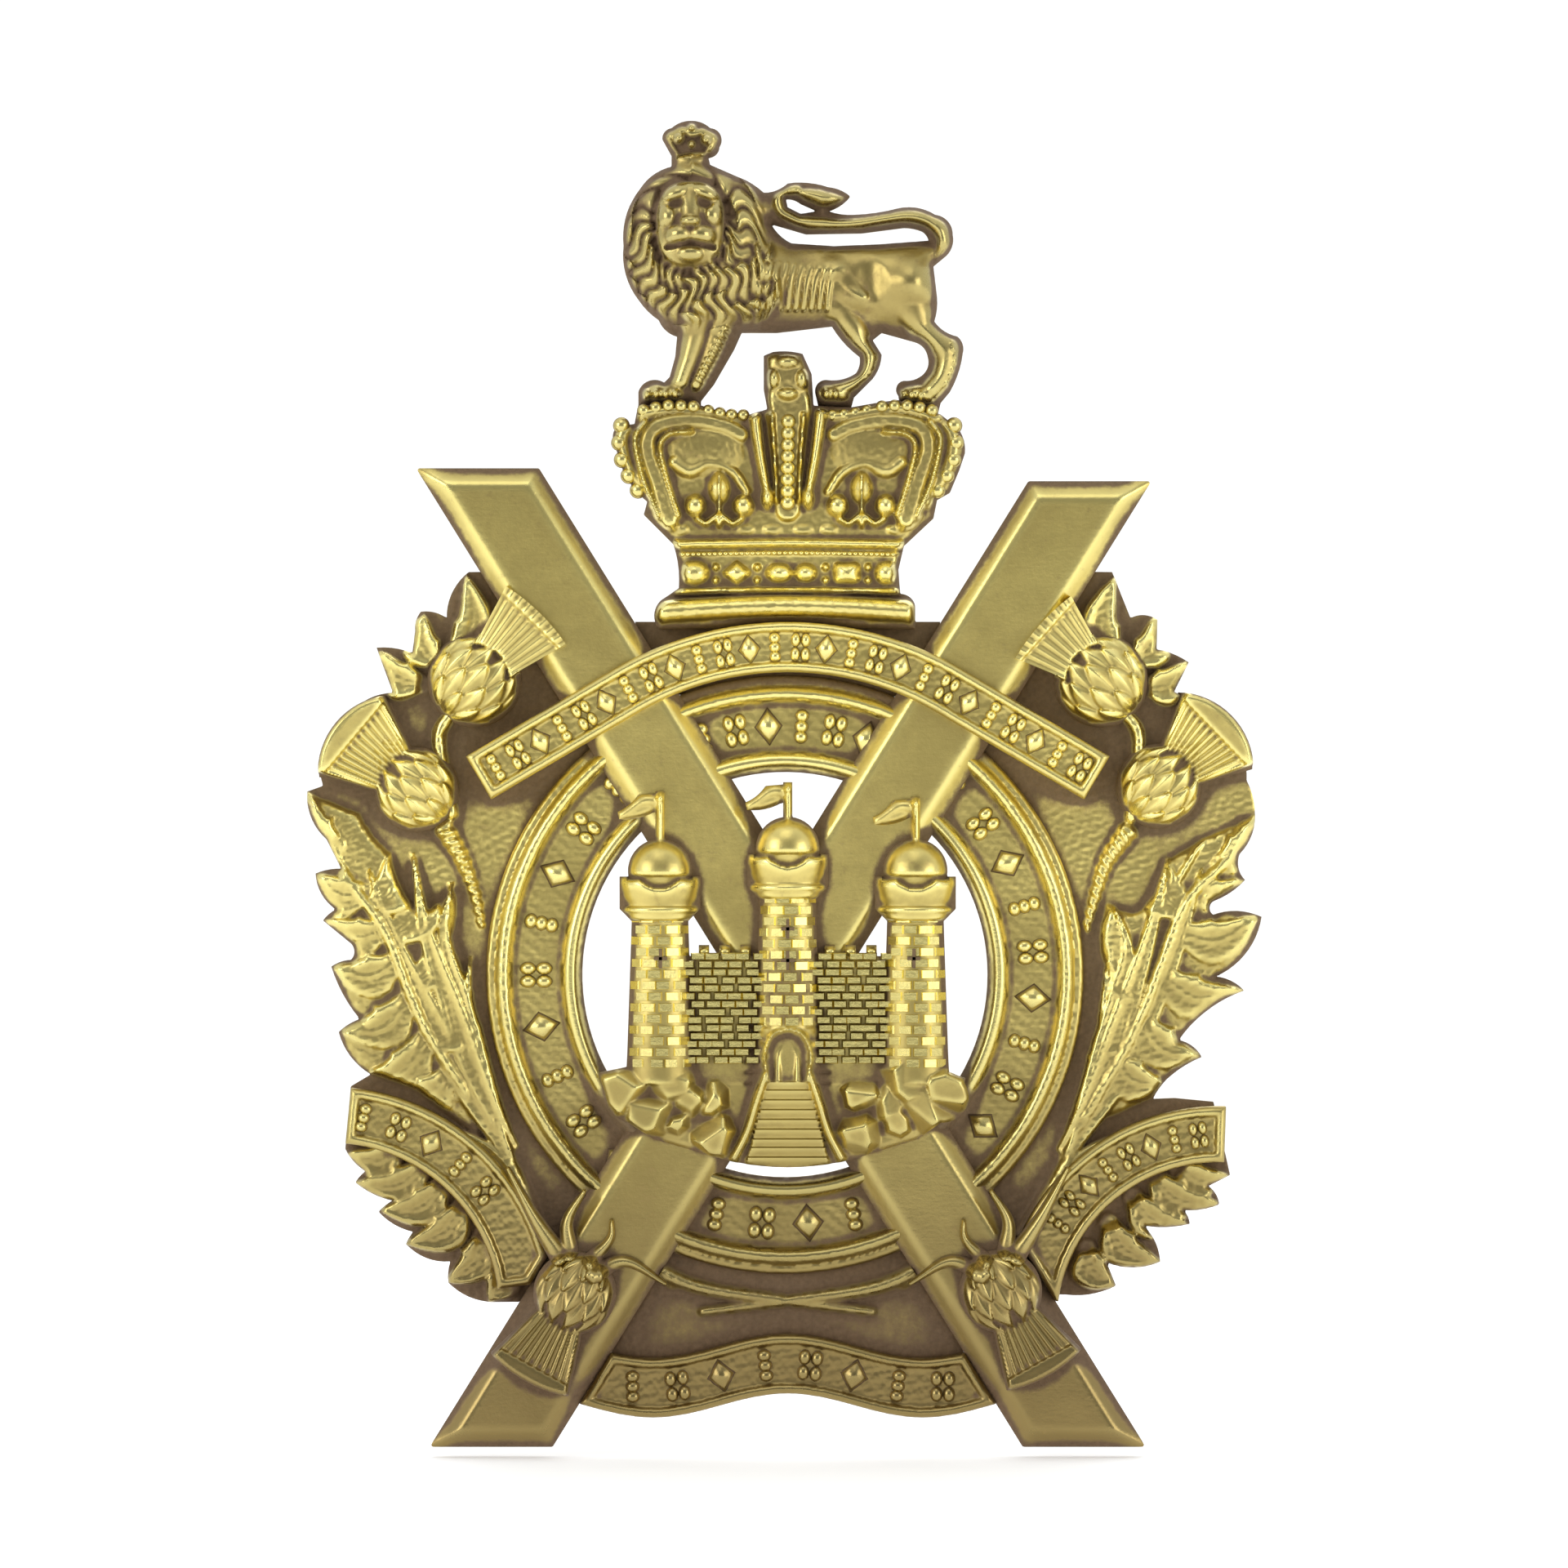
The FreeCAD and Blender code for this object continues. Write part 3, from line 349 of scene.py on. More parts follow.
def relief_mesh(name, relief, back):
    """Closed mesh of a relief: front, back and the walls between, its edge points moved on to the outline."""
    snap = 0.3 * relief.pitch
    solid = relief.inside > snap
    cell = solid[:-1, :-1] | solid[1:, :-1] | solid[:-1, 1:] | solid[1:, 1:]
    used = np.zeros(solid.shape, bool)
    for i in (0, 1):
        for j in (0, 1):
            used[i:solid.shape[0] - 1 + i, j:solid.shape[1] - 1 + j] |= cell
    gz, gx = np.gradient(relief.inside, relief.pitch)
    size = np.maximum(np.hypot(gx, gz), 1e-6)
    pull = np.where(used & ~solid, np.clip(-relief.inside, -1.5 * relief.pitch, 1.5 * relief.pitch), 0)
    x, z = relief.x + pull * gx / size, relief.z + pull * gz / size
    front = relief.sample(relief.height, x, z)
    rear = np.minimum(relief.sample(back, x, z), front - THINNEST)
    number = np.full(solid.shape, -1)
    number[used] = np.arange(used.sum())
    count = int(used.sum())
    co = np.empty((2 * count, 3))
    for k, depth in enumerate((front, rear)):
        co[k * count:(k + 1) * count] = np.stack(row_point(x[used], z[used], depth[used]), 1)
    i, j = np.nonzero(cell)
    quad = np.stack([number[i, j], number[i, j + 1], number[i + 1, j + 1], number[i + 1, j]], 1)
    walls = []
    pad = np.pad(cell, 1)
    below, above, left, right = pad[:-1, 1:-1], pad[1:, 1:-1], pad[1:-1, :-1], pad[1:-1, 1:]
    for lone, flip, up in ((above & ~below, 0, 0), (below & ~above, 1, 0),
                           (right & ~left, 1, 1), (left & ~right, 0, 1)):
        i, j = np.nonzero(lone)
        ends = [number[i, j], number[i + up, j + 1 - up]]
        a, b = ends[flip], ends[1 - flip]
        walls.append(np.stack([b, a, a + count, b + count], 1))
    faces = np.vstack([quad, quad[:, ::-1] + count, *walls])
    mesh = bpy.data.meshes.new(name)
    mesh.from_pydata(co, [], faces.tolist())
    mesh.shade_smooth()
    mesh.set_sharp_from_angle(angle=math.radians(50))
    return mesh, used


def dress(mesh, dirt, worn):
    """Stores how dirty and how darkened by painted shade each point is, and how worn, for the material."""
    for key, values in (("dirt", dirt), ("worn", worn)):
        layer = mesh.attributes.new(key, "FLOAT", "POINT")
        layer.data.foreach_set("value", np.clip(values, 0, 1).astype(np.float32))


def place(name, mesh, replaces=()):
    """Makes a struck piece of a mesh, which rides on the badge."""
    piece = add(name, mesh)
    mesh.materials.clear()
    mesh.materials.append(BRASS)
    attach(piece, "badge")
    if replaces:
        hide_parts(*replaces)


def finish_reliefs():
    """Turns every kept relief into a piece, its dirt and painted shade gathered in its own and its
    neighbours' hollows.
    """
    there = GROUND.height > 0.05
    wide_mean = blurred(GROUND.height, there, WIDE_HOLLOW / GROUND.pitch)
    near_mean = blurred(GROUND.height, there, NEAR_HOLLOW / GROUND.pitch)
    for name, relief, back, replaces in reliefs:
        own = relief.inside > 0
        fine_mean = blurred(relief.height, own, FINE_HOLLOW / relief.pitch)
        small_mean = blurred(relief.height, own, SMALL_HOLLOW / relief.pitch)
        # dirt in the hollows and painted shade there: darker where neighbouring pieces or the piece's own
        # relief stand above a point
        deep = GROUND.sample(wide_mean, relief.x, relief.z) - relief.height
        near = GROUND.sample(near_mean, relief.x, relief.z) - relief.height
        dirt = 0.75 * ramp(deep, 0.1, 0.9) + 0.6 * ramp(near, 0.08, 0.5)
        dirt += 0.9 * ramp(fine_mean - relief.height, 0.02, 0.16)
        dirt += relief.soil_and_shade + 0.2 * ramp(1.02 - relief.height, 0, 0.2)
        worn = ramp(relief.height - fine_mean, 0.01, 0.14)
        worn += ramp(relief.height - small_mean, 0.004, 0.05) * 0.6
        dirt, worn = blurred(np.clip(dirt, 0, 1.2), own, 1), blurred(np.clip(worn, 0, 1), own, 1)
        mesh, used = relief_mesh(name, relief, back)
        rear = np.ones(used.sum())
        dress(mesh, np.concatenate([dirt[used], rear * BACK_DIRT]),
              np.concatenate([worn[used], rear * BACK_WORN]))
        place(name, mesh, replaces)


def under(relief, seat):
    """Depth of the back of a piece that lies on whatever is below it."""
    below = GROUND.sample(GROUND.height, relief.x, relief.z)
    return np.maximum(seat, below - 0.05)


def hollow_back(relief):
    """Depth of the back of a struck sheet: the face's soft negative inside a flat rim."""
    rim = 0.7
    own = relief.inside > 0
    soft = blurred(relief.height, own, 0.5 / relief.pitch)
    return np.maximum(0, soft - SHEET) * ramp(relief.inside, rim * 0.5, rim * 1.3)


# ---------------------------------------------------------------- webs, sprays and circlet
def pitted(relief, amount, scale, seed):
    return amount * grain(relief.x, relief.z, scale, seed)


def web_height(relief):
    return WEB - 0.12 * (1 - shoulder(relief.inside, 0.15)) + pitted(relief, 0.03, 0.5, 1)


LEFT_LEAF = {
    "ribs": [
        ([(-25.9, 9.4), (-24.3, 5.6), (-21.9, 2.2), (-20.6, -1.0), (-19.4, -3.6), (-17.0, -7.2)],
         (0.3, 0.55)),
        ([(-22.3, 8.0), (-21.2, 5.6), (-19.8, 2.6), (-19.2, -0.6), (-18.6, -3.4)], (0.2, 0.3)),
        ([(-20.0, 5.4), (-19.6, 3.4), (-19.0, 1.0), (-18.6, -1.6)], (0.14, 0.3)),
    ],
    "lobes": [
        ((-24.6, 6.6), (-26.0, 9.5)), ((-22.9, 4.0), (-25.5, 5.1)), ((-22.0, 2.0), (-25.1, 2.6)),
        ((-21.2, 0.3), (-24.7, 0.2)), ((-20.6, -1.8), (-24.2, -3.4)), ((-19.6, -3.8), (-23.5, -6.3)),
        ((-18.4, -5.8), (-21.6, -7.2)), ((-21.4, 1.6), (-20.0, 5.5)), ((-20.4, -1.0), (-18.1, 4.3)),
        ((-19.4, -4.0), (-17.3, -1.0)), ((-17.8, -6.6), (-16.9, -5.0)), ((-22.4, 3.2), (-21.5, 6.3)),
    ],
    "upper": [((-18.2, 16.8), (-17.4, 21.3)), ((-19.0, 16.5), (-19.7, 19.2)), ((-19.8, 15.4), (-22.1, 17.2))],
    "lower": [
        ((-19.6, -10.6), (-23.4, -11.6)), ((-18.6, -11.6), (-22.1, -13.1)), ((-17.6, -12.8), (-20.7, -14.9)),
        ((-16.5, -14.4), (-18.5, -17.0)), ((-15.6, -16.2), (-16.2, -18.0)), ((-21.0, -9.8), (-23.9, -10.0)),
    ],
    "strands": [
        [(-15.0, -9.6), (-17.0, -5.4), (-18.3, -1.8), (-19.6, 2.0), (-20.3, 6.2)],
        [(-15.4, -8.6), (-17.0, -4.6), (-17.9, -1.2), (-18.6, 1.8), (-18.2, 4.6)],
        [(-15.2, -10.2), (-17.6, -6.2), (-19.4, -2.4), (-21.2, 1.4), (-22.7, 5.4)],
        [(-15.8, -7.8), (-16.8, -4.6), (-17.3, -1.8), (-17.2, 0.6)],
        [(-14.8, -10.8), (-16.1, -8.2), (-16.6, -6.0), (-16.4, -4.4)],
        [(-14.0, -12.4), (-16.6, -9.8), (-19.2, -8.7), (-21.6, -9.0)],
    ],
    "rope": [(-18.6, 7.6), (-17.7, 6.0), (-17.0, 4.2), (-16.6, 2.4)],
    "stems": [[(-18.2, 13.9), (-18.9, 12.6), (-18.6, 10.6), (-18.2, 8.4)],
              [(-15.6, -9.6), (-14.4, -11.8), (-13.4, -14.4)]],
}
RIGHT_LEAF = {
    "ribs": [
        ([(25.1, 9.0), (24.0, 6.2), (21.6, 3.6), (20.2, 0.2), (19.3, -2.2), (17.8, -5.2), (15.6, -8.6)],
         (0.3, 0.55)),
        ([(22.6, 7.2), (20.9, 4.4), (19.3, 1.6), (18.5, -1.6), (17.2, -5.0)], (0.2, 0.3)),
        ([(17.6, 3.1), (17.5, 0.6), (17.6, -2.0)], (0.14, 0.28)),
    ],
    "lobes": [
        ((23.6, 5.6), (25.3, 8.6)), ((22.4, 3.9), (24.7, 4.8)), ((21.2, 1.9), (25.5, 2.9)),
        ((20.3, -0.4), (24.6, -1.2)), ((19.2, -2.8), (22.4, -4.8)), ((17.8, -5.0), (20.4, -6.3)),
        ((21.4, 3.0), (20.5, 5.9)), ((19.4, -1.6), (17.5, 3.2)), ((18.3, -4.2), (17.4, -2.0)),
        ((16.8, -6.4), (16.4, -5.4)),
    ],
    "upper": [((17.9, 16.6), (17.7, 21.2)), ((18.8, 16.6), (19.9, 19.1)), ((19.4, 15.2), (21.6, 16.6))],
    "lower": [((19.8, -11.2), (23.4, -12.7)), ((18.7, -12.4), (21.8, -13.9)), ((17.4, -13.8), (20.2, -15.9)),
              ((16.2, -15.2), (17.8, -17.2)), ((21.2, -10.8), (23.9, -11.2))],
    "strands": [
        [(15.0, -9.8), (17.0, -5.8), (18.4, -2.0), (19.6, 1.8), (20.6, 6.0)],
        [(15.4, -8.8), (17.0, -5.0), (17.9, -1.6), (18.4, 1.0), (17.7, 3.4)],
        [(15.0, -10.4), (17.6, -6.4), (19.5, -2.6), (21.2, 1.4), (22.4, 5.4)],
        [(15.9, -8.2), (17.0, -5.0), (17.2, -2.6), (17.3, 0.6)],
        [(15.0, -10.6), (16.2, -8.2), (16.6, -6.2), (16.2, -4.6)],
        [(14.0, -12.4), (16.6, -10.0), (19.0, -9.2), (21.4, -9.6)],
    ],
    "rope": [(18.4, 7.4), (17.3, 5.8), (16.7, 4.0), (16.2, 2.2)],
    "stems": [[(18.3, 13.8), (19.0, 12.7), (18.9, 10.6), (18.6, 8.2)],
              [(15.6, -9.8), (14.2, -12.0), (12.6, -14.4)]],
}


def blades(relief, layer, lines, wide, high, cup=0.3, tilt=0.0):
    """Raises leaf blades that narrow to a point: cupped, veined down the middle, and tilted over the next."""
    for line in lines:
        part, gap, share, _, across = relief.follow(line, wide)
        half = wide * (0.5 + 0.5 * ramp(share, 0, 0.4)) * np.clip((1 - share) / 0.6, 0.02, 1) ** 0.75
        u = np.clip(gap / half, 0, 1)
        shape = high * (1 - cup * (1 - u) ** 1.4) * np.sqrt(1 - u ** 6)
        shape += 0.13 * np.exp(-(gap / 0.13) ** 2) + tilt * across / wide
        layer[part] = np.maximum(layer[part], np.where(u < 1, shape * ramp(share, -0.1, 0.15), 0))
    return layer


def swept(lobes):
    """The curved middle lines of lobes that sweep upward from a rib to their tips."""
    lines = []
    for root, tip in lobes:
        root, tip = np.array(root), np.array(tip)
        side = np.array([root[1] - tip[1], tip[0] - root[0]]) * 0.2 * np.sign(root[0] - tip[0])
        lines.append([root, root * 0.55 + tip * 0.45 + side, tip])
    return lines


def spray(side, leaf):
    relief = Relief(section(f"{side}_spray", WEB / 2), 0.085)
    blade = relief.distance(section(f"{side}_spray", WEB + 0.35))
    leafy = shoulder(blade, 0.5)
    hand = 1 if side == "left" else -1
    lobes = blades(relief, relief.blank(), swept(leaf["lobes"]), 1.35, 0.5, 0.45, 0.2 * hand)
    ribs = relief.blank()
    for line, (wide, high) in leaf["ribs"]:
        relief.stroke(ribs, line, (wide, wide * 1.2), (high, high))
    stipple = 0.05 * ramp(grain(relief.x, relief.z, 0.34, 5), 0.1, 0.7) * ramp(0.4 - lobes, 0, 0.15)
    raised = leafy * (0.4 + 0.2 * shoulder(blade, 1.7) + np.maximum(lobes, ribs) + stipple)
    outer = blades(relief, relief.blank(), swept(leaf["upper"] + leaf["lower"]), 1.2, 0.95, 0.4, 0.12 * hand)
    stems = relief.blank()
    relief.stroke(stems, leaf["rope"], (0.62, 0.25), (0.95, 0.4), twist=(1.7, 0.28))
    for line in leaf["stems"]:
        relief.stroke(stems, line, (0.45, 0.4), 0.8)
    for k, line in enumerate(leaf["strands"]):
        blades(relief, stems, [line], 0.85 if k < 3 else 0.6, 1.25 - 0.07 * k, 0.35, 0.1 * hand)
    outer *= shoulder(relief.inside, 0.3)
    relief.height = web_height(relief) + np.maximum.reduce([raised, outer, stems])
    struck(f"{side}_spray_relief", relief, hollow_back(relief), [f"{side}_spray"])


def circlet():
    """Flat ring between two round rims, its floor rough where the die wasn't polished."""
    relief = Relief(section("circlet", 1.0), 0.11)
    low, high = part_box("circlet")
    cx, cz = (low.x + high.x) / 2 / MM, (low.z + high.z) / 2 / MM - CROSSING
    outer = (high.x - low.x) / 2 / MM
    r = np.hypot(relief.x - cx, relief.z - cz)
    inner = float(r[relief.inside > 0].min())
    inner_rim, outer_rim = dome((r - inner - 0.62) / 0.55), dome((r - outer + 0.95) / 0.5)
    lip = 0.5 * dome((r - outer + 0.25) / 0.3)
    floor = RING_FLOOR - 0.15 + pitted(relief, 0.035, 0.4, 7) * ramp(r, inner + 1.1, inner + 1.5)
    relief.height = floor + (RING_RIM - RING_FLOOR + 0.1) * np.maximum.reduce([inner_rim, outer_rim, lip])
    relief.height *= 0.8 + 0.2 * shoulder(relief.inside, 0.25)
    struck("circlet_relief", relief, hollow_back(relief), ["circlet"])
    return cx, cz, inner, outer


def bottom_web():
    relief = Relief(section("bottom_web", WEB / 2), 0.1)
    stems = relief.blank()
    for side in (-1, 1):
        relief.strokes(stems, [
            ([(-8.2, -15.6), (-5.0, -17.2), (0, -18.0), (4.6, -18.6)], (0.55, 0.3), (1.1, 0.5)),
            ([(9.4, -14.2), (8.6, -15.8), (6.2, -16.9)], (0.25, 0.6), (0.9, 0.7)),
        ], side)
    relief.height = web_height(relief) + stems
    relief.soil_and_shade += 0.35
    struck("bottom_web_relief", relief, relief.blank(), ["bottom_web"])


# ---------------------------------------------------------------- saltire and scrolls
def saltire():
    depth = FACE - SHEET + 0.01
    relief = Relief(section("saltire", depth), 0.14, grow=depth - (FACE - BEVEL))
    slope = FACE - BEVEL + np.clip(relief.inside / BEVEL, 0, 1) * BEVEL
    soft = -smax(-slope, -FACE, 0.07) - 0.1 * (1 - shoulder(relief.inside, 0.14))
    relief.height = soft + pitted(relief, 0.006, 3.0, 11)
    rim_back, inner = under(relief, 0), ramp(relief.inside, 0.7, 1.0)
    back = rim_back * (1 - inner) + np.maximum(FACE - SHEET, rim_back) * inner
    struck("saltire_relief", relief, back, ["saltire"])


def scroll(node, face, seat):
    """A ribbon with round raised edges and a rough floor."""
    edge = 0.38
    relief = Relief(section(node, face - 0.25), 0.08)
    rim = 0.34 * dome((relief.inside - edge * 0.7) / (edge * 0.72))
    sag = -0.12 * (1 - shoulder(relief.inside, 0.3))
    relief.height = face - 0.08 + rim + sag + pitted(relief, 0.03, 0.45, 13) * (relief.inside > edge)
    struck(f"{node}_relief", relief, under(relief, seat), [node])


# ---------------------------------------------------------------- thistles
def scales(radius, along, across):
    """Heights of the overlapping scales round a bulb, pointed towards its tuft."""
    v = along / radius
    girth = np.sqrt(np.maximum(0.05, 1 - v * v)) * radius
    turn = np.arcsin(np.clip(across / girth, -1, 1)) / 0.6
    best = np.zeros_like(v)
    for row in range(4):
        t = np.clip((v + 1.2 - 0.42 * row) / 0.85, 0, 1)
        u = turn - 0.5 * (row % 2)
        u = np.abs(u - np.round(u))
        half = np.maximum(0.52 * (1 - t ** 2.2) ** 0.8, 0.01)
        high = (0.08 + 0.42 * t) * np.sqrt(np.maximum(0, 1 - (u / half) ** 4))
        high += 0.09 * np.exp(-(u / 0.09) ** 2)
        best = np.maximum(best, np.where((t > 0) & (t < 1) & (u < half), high, 0))
    return best


def thistle(node, centre, radius, lean, seat, tuft, teeth, lip=0.5):
    """A scaled bulb and a fluted tuft. tuft is (start, stop, half width at its start, at its rim)."""
    over = section(node, FACE + 0.25) if seat < FACE and lip < 0.6 else None
    relief = Relief(section(node, seat + 0.12), 0.06, also=over)
    start, stop, narrow, wide = tuft
    turn = math.radians(lean)
    ax, az = math.sin(turn), math.cos(turn)
    dx, dz = relief.x - centre[0], relief.z - centre[1]
    along, across = dx * ax + dz * az, dx * az - dz * ax
    high = radius * 0.82
    out = np.hypot(dx, dz) / radius
    bulb = high * np.sqrt(np.maximum(0, 1 - out ** 2.4))
    bulb = bulb * 0.9 + scales(radius, along, across) * shoulder(radius * (1 - out), 0.5)
    bulb = np.where(out < 1, bulb, 0)
    share = np.clip((along - start) / (stop - start), 0, 1)
    half = narrow + (wide - narrow) * share
    flute = 0.5 + 0.5 * np.cos(2 * math.pi * teeth * across / (2 * half))
    rim = ramp(along, stop - lip, stop - lip + 0.12)
    fan_high = high * (0.62 + 0.3 * share) - 0.22 * (1 - rim) * (1 - flute) + 0.12 * rim
    fan = fan_high * shoulder(half - np.abs(across), 0.35) * (along > start * 0.6) * (np.abs(across) < half)
    relief.height = seat + np.maximum(bulb, fan) * (0.55 + 0.45 * shoulder(relief.inside, 0.22))
    if over is not None:
        on_arm = FACE + 0.3 + 0.2 * rim - 0.12 * (1 - flute)
        raised = np.maximum(relief.height, on_arm)
        relief.height = np.where(relief.distance(over) > -0.1, raised, relief.height)
    relief.soil_and_shade += 0.15
    struck(f"{node}_relief", relief, under(relief, seat), [node])


def sprig(name, strokes, seat):
    """Small pointed leaves on a stalk, each given as (points, half widths, height)."""
    points = np.array([p for line, _, _ in strokes for p in line])
    relief = Relief(rectangle_lines(points.min(0) - 0.4, points.max(0) + 0.4), 0.06)
    relief.inside = np.full_like(relief.x, -1.0)
    for line, wide, high in strokes:
        relief.stroke(relief.height, line, wide, high)
        part, gap, share, _, _ = relief.follow(line, 1.2)
        half = wide[0] + (wide[1] - wide[0]) * share
        relief.inside[part] = np.maximum(relief.inside[part], half - gap)
    back = under(relief, seat)
    relief.height += np.maximum(seat, relief.sample(back, relief.x, relief.z))
    struck(name, relief, back, [])


def sprigs():
    """Leaves beside the necks of the lower thistles."""
    for name, s in (("left_sprig", -1), ("right_sprig", 1)):
        sprig(name, [([(s * x, z) for x, z in line], wide, high) for line, wide, high in (
            ([(12.4, -15.4), (13.7, -13.4), (15.1, -10.8)], (0.55, 0.14), 0.75),
            ([(11.8, -15.2), (11.9, -13.6), (11.0, -12.0)], (0.5, 0.12), 0.6),
            ([(10.6, -15.7), (9.6, -14.6), (9.5, -13.6)], (0.45, 0.12), 0.7),
            ([(10.4, -16.4), (8.7, -15.8), (6.6, -17.0)], (0.5, 0.12), 0.6),
        )], FACE)


def thistles():
    thistle("upper_left_thistle", (-17.0, 15.6), 2.55, 44, WEB, (1.6, 4.9, 1.3, 2.3), 8)
    thistle("upper_right_thistle", (17.0, 15.6), 2.55, -48, WEB, (1.6, 4.4, 1.3, 2.3), 8)
    thistle("outer_left_thistle", (-20.1, 9.7), 2.3, -50, WEB, (1.6, 5.2, 1.5, 3.0), 13, lip=0.9)
    thistle("outer_right_thistle", (20.1, 9.9), 2.3, 46, WEB, (1.6, 5.0, 1.5, 3.0), 13, lip=0.9)
    thistle("lower_left_thistle", (-11.5, -17.5), 2.25, 209, FACE, (1.4, 5.1, 1.3, 2.5), 9, lip=0.7)
    thistle("lower_right_thistle", (11.5, -17.4), 2.25, 151, FACE, (1.4, 4.9, 1.3, 2.4), 9, lip=0.7)


# ---------------------------------------------------------------- lion
FACE_AT = (-5.25, 40.2)


def mane(relief):
    """Long waving locks that flow out from the face and fall towards the chest."""
    dx, dz = relief.x - FACE_AT[0], relief.z - FACE_AT[1]
    reach = np.hypot(dx, dz)
    flow = 22 * np.arctan2(dx, -dz) / (2 * math.pi) + 0.8 * dx
    flow += 0.42 * np.sin(2 * math.pi * reach / 2.0 + 1.3 * np.sin(flow * 0.9))
    lock = np.round(flow)
    fall = reach / 1.9 + 0.5 * np.sin(lock * 2.4) + 0.5
    end = fall - np.floor(fall)
    strand = dome(2 * (flow - lock))
    return 0.62 * strand * (1 - 0.55 * end) + 0.16 * (1 - end)


